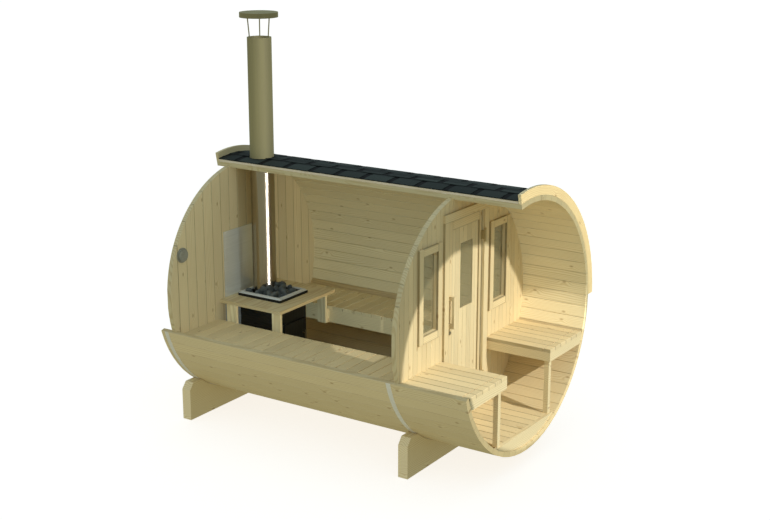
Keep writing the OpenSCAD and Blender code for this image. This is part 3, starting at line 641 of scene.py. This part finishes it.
# %% Trees and the meshes they make
def geometry_tree(name, inputs):
    """A Geometry Nodes tree with named inputs and one geometry output, and its input node."""
    tree = bpy.data.node_groups.new(name, "GeometryNodeTree")
    tree.is_modifier = True
    for label, (kind, value) in inputs.items():
        socket = tree.interface.new_socket(label, in_out="INPUT", socket_type="NodeSocket" + kind)
        if value is not None:
            socket.default_value = value
    tree.interface.new_socket("Geometry", in_out="OUTPUT", socket_type="NodeSocketGeometry")
    return tree, add(tree, "NodeGroupInput").outputs


def made_by(tree, values, source=None):
    """Runs a tree on a mesh, an empty one if none is given, and returns the result as a plain mesh."""
    holder = show(tree.name, source or bpy.data.meshes.new(tree.name))
    modifier = holder.modifiers.new(tree.name, "NODES")
    modifier.node_group = tree
    names = {s.name: s.identifier for s in tree.interface.items_tree if s.in_out == "INPUT"}
    for label, value in values.items():
        modifier[names[label]] = value
    holder.update_tag()
    graph = bpy.context.evaluated_depsgraph_get()
    mesh = bpy.data.meshes.new_from_object(holder.evaluated_get(graph))
    bpy.data.objects.remove(holder)
    # A mesh primitive in a tree brings an empty material slot with it, so only the last one is kept
    finish = mesh.materials[-1]
    mesh.materials.clear()
    mesh.materials.append(finish)
    mesh.polygons.foreach_set("material_index", [0] * len(mesh.polygons))
    return mesh


print("tree helpers ready")

# %% Shingle tree
def shingle_tree(material):
    tree, given = geometry_tree("lapped shingles", {
        "Rows": ("Int", 12), "Columns": ("Int", 14), "Tab width": ("Float", 0.25),
        "Tab height": ("Float", 0.2), "Exposure": ("Float", 0.14), "Thickness": ("Float", 0.004),
        "Tab gap": ("Float", 0.006), "Radius": ("Float", 1.02), "Roof length": ("Float", 2.8),
        "Arc": ("Float", 1.6), "Turn": ("Float", 1.0), "Start": ("Vector", (0.0, 0.0, 0.0)),
        "Seed": ("Int", 1)})
    # Flat sheet: x runs along the roof, y runs up from the eaves, one point for each tab
    wide = add(tree, "Math", [given["Columns"], 1.0], "SUBTRACT")
    tall = add(tree, "Math", [given["Rows"], 1.0], "SUBTRACT")
    size_x = add(tree, "Math", [wide, given["Tab width"]], "MULTIPLY")
    size_y = add(tree, "Math", [tall, given["Exposure"]], "MULTIPLY")
    grid = add(tree, "GeometryNodeMeshGrid", {"Size X": size_x, "Size Y": size_y,
                                              "Vertices X": given["Columns"], "Vertices Y": given["Rows"]})
    half = add(tree, "CombineXYZ", [size_x, size_y])
    corner = add(tree, "VectorMath", {0: half, 3: 0.5}, "SCALE")
    # The lowest row is a starter: one exposure lower, trimmed below, it closes the gaps of the next
    starter = add(tree, "CombineXYZ", {1: given["Exposure"]})
    lowered = add(tree, "VectorMath", [corner, starter], "SUBTRACT")
    moved = add(tree, "GeometryNodeSetPosition", {"Geometry": grid, "Offset": lowered})
    where = add(tree, "SeparateXYZ", [add(tree, "GeometryNodeInputPosition")])
    row = add(tree, "Math", [where.outputs[1], given["Exposure"]], "DIVIDE")
    whole = add(tree, "Math", [row], "ROUND")
    odd = add(tree, "Math", [whole, 2.0], "FLOORED_MODULO")
    step = add(tree, "Math", [odd, given["Tab width"]], "MULTIPLY")
    jump = add(tree, "Math", [step, -0.5], "MULTIPLY")
    shift = add(tree, "CombineXYZ", [jump])
    points = add(tree, "GeometryNodeSetPosition", {"Geometry": moved, "Offset": shift})
    # One tab, its lower edge on the point, tilted by one thickness over one exposure
    net = add(tree, "Math", [given["Tab width"], given["Tab gap"]], "SUBTRACT")
    block = add(tree, "CombineXYZ", [net, given["Tab height"], given["Thickness"]])
    plain = add(tree, "GeometryNodeMeshCube",
                {"Size": block, "Vertices X": 2, "Vertices Y": 7, "Vertices Z": 2})
    side = add(tree, "SeparateXYZ", [add(tree, "GeometryNodeInputPosition")])
    upward = add(tree, "Math", [side.outputs[1], given["Tab height"]], "DIVIDE")
    tab = add(tree, "GeometryNodeStoreNamedAttribute", {"Geometry": plain, "Name": "lap", "Value": upward},
              data_type="FLOAT", domain="POINT")
    rise = add(tree, "Math", [given["Tab height"], 0.5], "MULTIPLY")
    lift = add(tree, "Math", [given["Thickness"], 1.8], "MULTIPLY")
    seat = add(tree, "CombineXYZ", [0.0, rise, lift])
    seated = add(tree, "GeometryNodeTransform", {"Geometry": tab, "Translation": seat})
    lap = add(tree, "Math", [given["Thickness"], given["Exposure"]], "DIVIDE")
    down = add(tree, "Math", [lap, -1.0], "MULTIPLY")
    wobble = add(tree, "FunctionNodeRandomValue", {2: -0.008, 3: 0.008, "Seed": given["Seed"]},
                 data_type="FLOAT")
    tilt = add(tree, "CombineXYZ", {0: down, 2: wobble.outputs[1]})
    laid = add(tree, "GeometryNodeInstanceOnPoints",
               {"Points": points, "Instance": seated, "Rotation": tilt})
    chance = add(tree, "FunctionNodeRandomValue", {2: 0.0, 3: 1.0, "Seed": given["Seed"]},
                 data_type="FLOAT")
    toned = add(tree, "GeometryNodeStoreNamedAttribute",
                {"Geometry": laid, "Name": "tone", "Value": chance.outputs[1]}, data_type="FLOAT",
                domain="INSTANCE")
    sheet = add(tree, "GeometryNodeRealizeInstances", {"Geometry": toned})
    # Trim the flat sheet, then bend it round the axis
    spot = add(tree, "SeparateXYZ", [add(tree, "GeometryNodeInputPosition")])
    run = add(tree, "Clamp", {"Value": spot.outputs[0], "Min": 0.0, "Max": given["Roof length"]})
    up = add(tree, "Clamp", {"Value": spot.outputs[1], "Min": 0.0, "Max": given["Arc"]})
    begin = add(tree, "SeparateXYZ", [given["Start"]])
    turned = add(tree, "Math", [up, given["Radius"]], "DIVIDE")
    swung = add(tree, "Math", [turned, given["Turn"]], "MULTIPLY")
    angle = add(tree, "Math", [begin.outputs[0], swung], "SUBTRACT")
    out = add(tree, "Math", [given["Radius"], spot.outputs[2]], "ADD")
    sine = add(tree, "Math", [angle], "SINE")
    cosine = add(tree, "Math", [angle], "COSINE")
    x = add(tree, "Math", [out, sine, AXIS_X], "MULTIPLY_ADD")
    y = add(tree, "Math", [run, begin.outputs[1]], "ADD")
    z = add(tree, "Math", [out, cosine, AXIS_Z], "MULTIPLY_ADD")
    place = add(tree, "CombineXYZ", [x, y, z])
    bent = add(tree, "GeometryNodeSetPosition", {"Geometry": sheet, "Position": place})
    painted = add(tree, "GeometryNodeSetMaterial", {"Geometry": bent, "Material": material})
    add(tree, "NodeGroupOutput", {"Geometry": painted})
    return tree


print("shingle tree ready")

# %% [markdown]
# ## Shingle finish
# Each tab is bitumen under crushed slate: nearly black with a blue cast, matt, and gritty. Tabs come from
# different parts of the roll, so the tree above gives every tab a tone of its own, which is read here as
# an attribute. The real grit is about 1 mm across; it is drawn at 5 mm so that it shows at all. The upper
# half of a tab lies under the next row and is drawn near-black, dark bitumen deepened into painted shade,
# which shows in the gaps between tabs.

# %% Lay the roof
DARK_LAP = -0.04  # height on a tab, from its middle, as a share of the tab's height


def slate_granules():
    material, tree, shader, place, axes = new_material("bitumen shingle with slate granules")
    tone = add(tree, "Attribute", attribute_name="tone")
    grit = add(tree, "TexNoise", {"Vector": place, "Scale": 1 / 0.005, "Detail": 3.0, "Roughness": 0.7})
    mixed = add(tree, "Math", [tone.outputs["Fac"], grit], "ADD")
    share = add(tree, "MapRange", {"Value": mixed, "From Min": 0.3, "From Max": 1.6})
    slate = add(tree, "Mix", {"Factor": share, "A": linear("171C1A"), "B": linear("3D4540")},
                data_type="RGBA")
    # Above the lap height a tab is near-black: dark bitumen deepened into painted shade, which shows in the
    # gaps between tabs
    lap = add(tree, "Attribute", attribute_name="lap")
    bare = add(tree, "Math", [lap.outputs["Fac"], DARK_LAP], "GREATER_THAN")
    tint = add(tree, "Mix", {"Factor": bare, "A": slate, "B": linear("040505")}, data_type="RGBA")
    rise = add(tree, "Bump", {"Height": grit, "Strength": 0.4, "Distance": 0.0015})
    rough = add(tree, "MapRange", {"Value": grit, "To Min": 0.70, "To Max": 0.95})
    fill(tree, shader, {"Base Color": tint, "Roughness": rough, "Normal": rise, "Specular IOR Level": 0.25})
    return material


TAB_WIDTH, TAB_GAP, TAB_T, EXPOSURE = 0.250, 0.050, 0.0040, 0.140
TAB_HEIGHT = EXPOSURE * 2.1  # a tab reaches just past two rows
LAYER = 0.008                # thickness of the shingles as a solid
EAVE_ANGLE, CUT_ANGLE = math.pi / 2, -2 * STAVE_ANGLE
shingle_low, shingle_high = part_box("roof_shingles")
DECK_R = shingle_high.x - AXIS_X - LAYER
roof_length = shingle_high.y - shingle_low.y
columns = math.ceil(roof_length / TAB_WIDTH) + 2
shingles = shingle_tree(slate_granules())
sheets = []
for start, turn, seed in ((EAVE_ANGLE, 1.0, 3), (CUT_ANGLE, -1.0, 8)):
    arc = turn * start * DECK_R
    sheets.append(made_by(shingles, {
        "Rows": math.ceil(arc / EXPOSURE) + 1, "Columns": columns, "Tab width": TAB_WIDTH,
        "Tab height": TAB_HEIGHT, "Exposure": EXPOSURE, "Thickness": TAB_T, "Tab gap": TAB_GAP,
        "Radius": DECK_R, "Roof length": roof_length, "Arc": arc, "Turn": turn,
        "Start": (start, shingle_low.y, 0.0), "Seed": seed}))
print("tabs:", [len(m.polygons) for m in sheets])

# %% [markdown]
# The sheet for the far slope runs the other way, so it comes out mirrored and its normals are turned
# outwards. The two sheets become one mesh, and a Boolean cuts the hole where the chimney goes through.

# %% Join the slopes and cut the flue hole
both = bmesh.new()
for mesh in sheets:
    both.from_mesh(mesh)
bmesh.ops.dissolve_degenerate(both, dist=0.0002, edges=both.edges[:])
bmesh.ops.recalc_face_normals(both, faces=both.faces[:])
roof_mesh = bpy.data.meshes.new("lapped_shingles")
both.to_mesh(roof_mesh)
both.free()
roof_mesh.materials.append(sheets[0].materials[0])
roof = show("lapped_shingles", roof_mesh)

pipe_low, pipe_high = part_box("chimney_pipe")
PIPE_X, PIPE_Y = (pipe_low.x + pipe_high.x) / 2, (pipe_low.y + pipe_high.y) / 2
PIPE_R = (pipe_high.x - pipe_low.x) / 2
HOLE_R, HOLE_DEPTH = PIPE_R + 0.004, 0.6
cutter_shape = bmesh.new()
bmesh.ops.create_cone(cutter_shape, cap_ends=True, segments=64, radius1=HOLE_R, radius2=HOLE_R,
                      depth=HOLE_DEPTH)
bmesh.ops.translate(cutter_shape, verts=cutter_shape.verts, vec=(PIPE_X, PIPE_Y, shingle_high.z))
cutter_mesh = bpy.data.meshes.new("flue_cutter")
cutter_shape.to_mesh(cutter_mesh)
cutter_shape.free()
cutter = show("flue_cutter", cutter_mesh)
cut = roof.modifiers.new("flue hole", "BOOLEAN")
cut.operation, cut.solver, cut.use_self, cut.object = "DIFFERENCE", "EXACT", True, cutter
graph = bpy.context.evaluated_depsgraph_get()
cut_mesh = bpy.data.meshes.new_from_object(roof.evaluated_get(graph))
roof.modifiers.clear()
roof.data = cut_mesh
bpy.data.objects.remove(cutter)
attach(roof, "sauna")
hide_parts("roof_shingles")
print("roof:", len(roof.data.polygons), "faces")

# %% [markdown]
# ## Heater stones
# A heap of broken stones fills the basin on the stove, higher in the middle. Geometry Nodes scatter
# points over the basin, leave out those at the flue, raise them to the heap's profile, set a stone on
# each with its own turn and size, and only then dent every stone with a noise, so that no two are alike.

# %% Stone tree
def stone_tree(material):
    tree, given = geometry_tree("heaped stones", {
        "Width": ("Float", 0.3), "Depth": ("Float", 0.36), "Heap": ("Float", 0.055),
        "Middle": ("Vector", (0, 0, 0)), "Flue": ("Vector", (0, 0, 0)), "Flue radius": ("Float", 0.1),
        "Stone": ("Float", 0.038), "Spacing": ("Float", 0.040), "Seed": ("Int", 4)})
    base = add(tree, "GeometryNodeMeshGrid",
               {"Size X": given["Width"], "Size Y": given["Depth"], "Vertices X": 2, "Vertices Y": 2})
    placed = add(tree, "GeometryNodeTransform", {"Geometry": base, "Translation": given["Middle"]})
    points = add(tree, "GeometryNodeDistributePointsOnFaces",
                 {"Mesh": placed, "Distance Min": given["Spacing"], "Density Max": 2000.0,
                  "Seed": given["Seed"]}, distribute_method="POISSON")
    spot = add(tree, "GeometryNodeInputPosition")
    from_flue = add(tree, "VectorMath", [spot, given["Flue"]], "SUBTRACT")
    level_only = add(tree, "VectorMath", [from_flue, (1.0, 1.0, 0.0)], "MULTIPLY")
    away = add(tree, "VectorMath", [level_only], "LENGTH").outputs["Value"]
    close = add(tree, "Math", [away, given["Flue radius"]], "LESS_THAN")
    clear = add(tree, "GeometryNodeDeleteGeometry", {"Geometry": points, "Selection": close},
                domain="POINT")
    from_middle = add(tree, "VectorMath", [spot, given["Middle"]], "SUBTRACT")
    span = add(tree, "VectorMath", [from_middle], "LENGTH").outputs["Value"]
    crown = add(tree, "MapRange",
                {"Value": span, "From Min": 0.19, "From Max": 0.02, "To Max": given["Heap"]},
                interpolation_type="SMOOTHSTEP")
    jitter = add(tree, "FunctionNodeRandomValue", {2: -0.010, 3: 0.014, "Seed": given["Seed"]},
                 data_type="FLOAT")
    height = add(tree, "Math", [crown, jitter.outputs[1]], "ADD")
    lift = add(tree, "CombineXYZ", {2: height})
    heaped = add(tree, "GeometryNodeSetPosition", {"Geometry": clear, "Offset": lift})
    ball = add(tree, "GeometryNodeMeshIcoSphere", {"Radius": given["Stone"], "Subdivisions": 2})
    turn = add(tree, "FunctionNodeRandomValue",
               {0: (0.0, 0.0, 0.0), 1: (6.3, 6.3, 6.3), "Seed": given["Seed"]}, data_type="FLOAT_VECTOR")
    size = add(tree, "FunctionNodeRandomValue",
               {0: (0.75, 0.65, 0.55), 1: (1.3, 1.1, 0.95), "Seed": given["Seed"]},
               data_type="FLOAT_VECTOR")
    stones = add(tree, "GeometryNodeInstanceOnPoints",
                 {"Points": heaped, "Instance": ball, "Rotation": turn, "Scale": size})
    real = add(tree, "GeometryNodeRealizeInstances", {"Geometry": stones})
    dents = add(tree, "TexNoise", {"Scale": 1 / 0.045, "Detail": 2.0, "Roughness": 0.6})
    depth = add(tree, "MapRange",
                {"Value": dents, "From Min": 0.25, "From Max": 0.75, "To Min": -0.014, "To Max": 0.010})
    outward = add(tree, "GeometryNodeInputNormal")
    push = add(tree, "VectorMath", {0: outward, 3: depth}, "SCALE")
    dented = add(tree, "GeometryNodeSetPosition", {"Geometry": real, "Offset": push})
    painted = add(tree, "GeometryNodeSetMaterial", {"Geometry": dented, "Material": material})
    add(tree, "NodeGroupOutput", {"Geometry": painted})
    return tree


BASIN_EDGE, BASIN_SINK, FLUE_CLEAR = 0.05, 0.010, 0.020
stones_low, stones_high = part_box("stove_stones")
middle = (stones_low + stones_high) / 2
heap = show("heater_stones", made_by(stone_tree(stone_grey), {
    "Width": stones_high.x - stones_low.x - BASIN_EDGE, "Depth": stones_high.y - stones_low.y - BASIN_EDGE,
    "Middle": (middle.x, middle.y, stones_high.z - BASIN_SINK), "Flue": (PIPE_X, PIPE_Y, 0.0),
    "Flue radius": PIPE_R + FLUE_CLEAR}))
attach(heap, "sauna")
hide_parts("stove_stones")
print("stones:", len(heap.data.polygons), "faces")

# %% [markdown]
# ## Screws
# Every slat and floor board is screwed down, and so is the heat shield. The heads are small, but a close
# look finds them, and they give the boards their scale. A mesh of loose points holds the places, with an
# attribute that says which way each head faces. One tree puts a shallow cone at every point, so a screw
# is moved by moving a point.

# %% Screw tree
def screw_tree(material):
    tree, given = geometry_tree("screw heads", {"Places": ("Geometry", None), "Head": ("Float", 0.0035),
                                                "Rise": ("Float", 0.0012), "Sides": ("Int", 14)})
    slim = add(tree, "Math", [given["Head"], 0.75], "MULTIPLY")
    head = add(tree, "GeometryNodeMeshCone", {"Vertices": given["Sides"], "Radius Top": slim,
                                              "Radius Bottom": given["Head"], "Depth": given["Rise"]})
    way = add(tree, "GeometryNodeInputNamedAttribute", {"Name": "facing"}, data_type="FLOAT_VECTOR")
    turn = add(tree, "FunctionNodeAlignRotationToVector", {"Vector": way})
    points = add(tree, "GeometryNodeMeshToPoints", {"Mesh": given["Places"]})
    set_in = add(tree, "GeometryNodeInstanceOnPoints",
                 {"Points": points, "Instance": head, "Rotation": turn})
    real = add(tree, "GeometryNodeRealizeInstances", {"Geometry": set_in})
    painted = add(tree, "GeometryNodeSetMaterial", {"Geometry": real, "Material": material})
    add(tree, "NodeGroupOutput", {"Geometry": painted})
    return tree


UP, OUT = (0.0, 0.0, 1.0), (0.0, -1.0, 0.0)
spots = []


def row_of(start, end, number, facing):
    """Screws at even steps from start to end, both included."""
    a, b = Vector(start), Vector(end)
    for k in range(number):
        spots.append((a.lerp(b, k / max(1, number - 1)), facing))


def board_middles(node, axis, number):
    pitch, first = board_pitch(node, axis, number)
    return [first + (k + 0.5) * pitch for k in range(number)]


print("screw tree ready")

# %% Where the screws are
INSET, FLOOR_INSET = 0.018, 0.03  # from a board's end to its screws
APRON_SET, PAIR = 0.14, 0.028     # porch slats are screwed to the set-back apron, room slats by pairs
for side in ("left", "right"):
    low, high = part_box("porch_bench_" + side)
    for x in board_middles("porch_bench_" + side, 0, PORCH_SLATS):
        row_of((x, low.y + APRON_SET, high.z), (x, high.y - INSET, high.z), 2, UP)
    low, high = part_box("room_bench_" + side)
    inner = high.x - INSET if side == "left" else low.x + INSET
    for y in board_middles("room_bench_" + side, 1, ROOM_SLATS):
        row_of((inner, y - PAIR, high.z), (inner, y + PAIR, high.z), 2, UP)
for node, lines in (("porch_floor", 2), ("room_floor", 4)):
    low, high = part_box(node)
    for x in board_middles(node, 0, FLOOR_BOARDS):
        row_of((x, low.y + FLOOR_INSET, high.z), (x, high.y - FLOOR_INSET, high.z), lines, UP)
low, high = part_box("heat_shield")
for x in (low.x + INSET, high.x - INSET):
    row_of((x, low.y, low.z + INSET), (x, low.y, high.z - INSET), 5, OUT)

places = bpy.data.meshes.new("screw_places")
places.from_pydata([tuple(at) for at, facing in spots], [], [])
facing = places.attributes.new("facing", "FLOAT_VECTOR", "POINT")
facing.data.foreach_set("vector", [c for at, way in spots for c in way])
screws = show("screws", made_by(screw_tree(yellow_zinc), {}, places))
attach(screws, "sauna")
print("screws:", len(spots), "and", len(screws.data.polygons), "faces")

# %% [markdown]
# ## Studio
# The floor is white paper on a light table, lit a little from below so that it stays pale. It lights the
# picture and not the object, so that the soft sky alone makes the shade: brighter from above, a little
# cool, as shade is in daylight, and warmer from below, where light comes back off the boards.

# %% Floor
scene = bpy.context.scene
REACH, FLOOR_DROP = 90.0, -0.001
floor_mesh = bpy.data.meshes.new("studio_floor")
corners = ((-REACH, -REACH), (REACH, -REACH), (REACH, REACH), (-REACH, REACH))
floor_mesh.from_pydata([(x, y, FLOOR_DROP) for x, y in corners], [], [(0, 1, 2, 3)])
floor = show("studio_floor", floor_mesh)
paper, tree, shader, place, axes = new_material("white paper on a light table")
fill(tree, shader, {"Base Color": linear("BCBCBC"), "Roughness": 0.9, "Specular IOR Level": 0.0,
                    "Emission Color": linear("FFFBF7"), "Emission Strength": 0.80})
floor_mesh.materials.append(paper)
floor.visible_diffuse = floor.visible_glossy = False
print("floor", 2 * REACH, "m wide")

# %% Sky
world = bpy.data.worlds.new("soft studio sky")
scene.world = world
world.use_nodes = True
sky = world.node_tree
way = add(sky, "SeparateXYZ", [add(sky, "TexCoord").outputs["Generated"]])
glow = add(sky, "MapRange", {"Value": way.outputs[2], "From Min": -1.0, "To Min": 0.38, "To Max": 0.62})
share = add(sky, "MapRange", {"Value": way.outputs[2], "From Min": -0.35, "From Max": 0.05})
tint = add(sky, "Mix", {"Factor": share, "A": linear("F0EEC4"), "B": linear("E4F8FF")}, data_type="RGBA")
fill(sky, sky.nodes["Background"], {"Strength": glow, "Color": tint})
print("sky ready")

# %% [markdown]
# ### Lamps
# The key light is one strong spot far off in front of the porch, high and a little to the open side. Its
# beam is flattened so that it just fills the barrel's round mouth: the round edge of the light falls
# across the door wall and the room stays in the shade, as in a barrel that is closed all round. It
# only grazes the far staves, so a second spot on the same way lifts the strip of them that is lit.
#
# In daylight every shaded side has a light of its own, from open sky, pale ground or sunlit boards near
# by. A few weak lamps stand in for those. Light linking names the solids that a lamp lights, its takers,
# and the only ones that may stop it, its blockers. So each side can be set without spoiling the next, the
# bench shades the staves under it, and the pipe throws a soft shade on the wall. The flue is polished,
# and a wide lamp that only the pipe takes makes the bright line that a mirror finish shows.

# %% Lamps
def lamp(name, way, energy, colour="FFFFFF", angle=0.0, shadow=False, takers=(), blockers=(), kind="SUN",
         at=(0.0, 0.0, 6.0)):
    """A lamp that shines along a way, on everything or on the named solids alone."""
    made = show(name, bpy.data.lights.new(name, kind))
    made.location = at
    made.rotation_euler = Vector(way).to_track_quat("-Z", "Y").to_euler()
    made.data.energy, made.data.use_shadow = energy, shadow
    made.data.color = linear(colour)[:3]
    if kind == "SUN":
        made.data.angle = math.radians(angle)
    for names, kept in ((takers, "receiver_collection"), (blockers, "blocker_collection")):
        if names:
            group = bpy.data.collections.new(name + " " + kept)
            for solid in names:
                group.objects.link(scene.objects[solid])
            setattr(made.light_linking, kept, group)
    return made


print("lamp helper ready")

# %% Key spots
KEY_WAY = Vector((0.137, 1.0, -0.75)).normalized()
KEY_OFF, KEY_LIGHT, MOUTH_R = 30.0, 2.75, 0.959
KEY_POWER = KEY_LIGHT * 4 * math.pi * KEY_OFF ** 2  # a spot's power spreads over a sphere
FAR_SHARE = 1.5
mouth = Vector((AXIS_X, RIM_FRONT, AXIS_Z))
for name, power, takers in (("key spot", KEY_POWER, []),
                            ("key spot on the far side", FAR_SHARE * KEY_POWER, ["staves_right"])):
    spot = lamp(name, KEY_WAY, power, shadow=True, takers=takers, kind="SPOT", at=mouth - KEY_OFF * KEY_WAY)
    spot.data.spot_size = 2 * math.atan(MOUTH_R / KEY_OFF)
    spot.data.spot_blend, spot.data.shadow_soft_size = 0.03, 0.02
    spot.scale.y = KEY_WAY.xy.length  # a flattened beam falls as a full circle on the upright mouth
print("key spots:", round(KEY_POWER), "W and", FAR_SHARE, "times that on the far side")

# %% Lights of the shaded sides
NEAR_BENCH = ["room_bench_left", "room_bench_frame_left"]
FAR_BENCH = ["room_bench_right", "room_bench_frame_right"]
lamp("room fill", (0.70, 0.65, -0.12), 0.84, "CDEFFF", 20.0, True,
     ["staves_top", "staves_right", "guard_posts"] + FAR_BENCH,
     ["porch_bench_right", "porch_bench_frame_right"])
lamp("near side fill", (0.70, 0.65, -0.30), 0.74, "ECF4F4", 20.0, False,
     ["staves_bottom_left", "roof_fascia_front", "chimney_pipe", "chimney_rods", "hoop_front", "hoop_back"]
     + NEAR_BENCH)
lamp("wall fill", (-0.05, 1.0, -0.1), 0.46, "E2F4FF", 14.0, True,
     ["back_wall_boards", "heat_shield", "vent"], ["chimney_pipe"])
lamp("edge light", (0.0, 1.0, 0.0), 0.75, "FFEFD0", takers=[
    "staves_top", "staves_right", "staves_bottom_right", "staves_bottom_left", "guard_top", "guard_posts"])
lamp("fascia light", (0.0, 1.0, 0.0), 2.1, "FFEFD0", takers=["roof_fascia_front"])
lamp("cradle end light", (1.0, 0.0, 0.0), 0.5, takers=["cradle_front", "cradle_back"])
lamp("deck edge light", (0.9, 0.2, 0.35), 0.9, takers=["roof_deck"])
streak = lamp("flue streak", (0.2, 1.0, 0.28), 1.05, "F0F3FF", 20.0, takers=["chimney_pipe"])
streak.data.cycles.use_multiple_importance_sampling = False  # else walls in the mirrored direction dim it
scene.view_settings.view_transform = "Standard"

# %% [markdown]
# ## Camera
# The camera stands well off the open side, above the roof's eaves, and looks down at the porch corner.
# Its place, its turn and its focal length were fitted to the rims, walls, cradles and chimney.

# %% Camera
IMAGE_WIDTH, SENSOR = 770, 36.0
FOCAL_PIXELS = 1393.4
CAMERA_AT = (-8.981, -6.007, 4.424)
LOOK_TURN, LOOK_DOWN = math.radians(56.598), math.radians(15.589)
LEVEL = math.cos(LOOK_DOWN)
look = Vector((math.sin(LOOK_TURN) * LEVEL, math.cos(LOOK_TURN) * LEVEL, -math.sin(LOOK_DOWN)))
camera_data = bpy.data.cameras.new("camera")
camera_data.sensor_width = SENSOR
camera_data.lens = FOCAL_PIXELS / IMAGE_WIDTH * SENSOR
camera = show("camera", camera_data)
camera.location = CAMERA_AT
camera.rotation_euler = look.to_track_quat("-Z", "Y").to_euler()
scene.camera = camera
print("lens", round(camera_data.lens, 1), "mm")
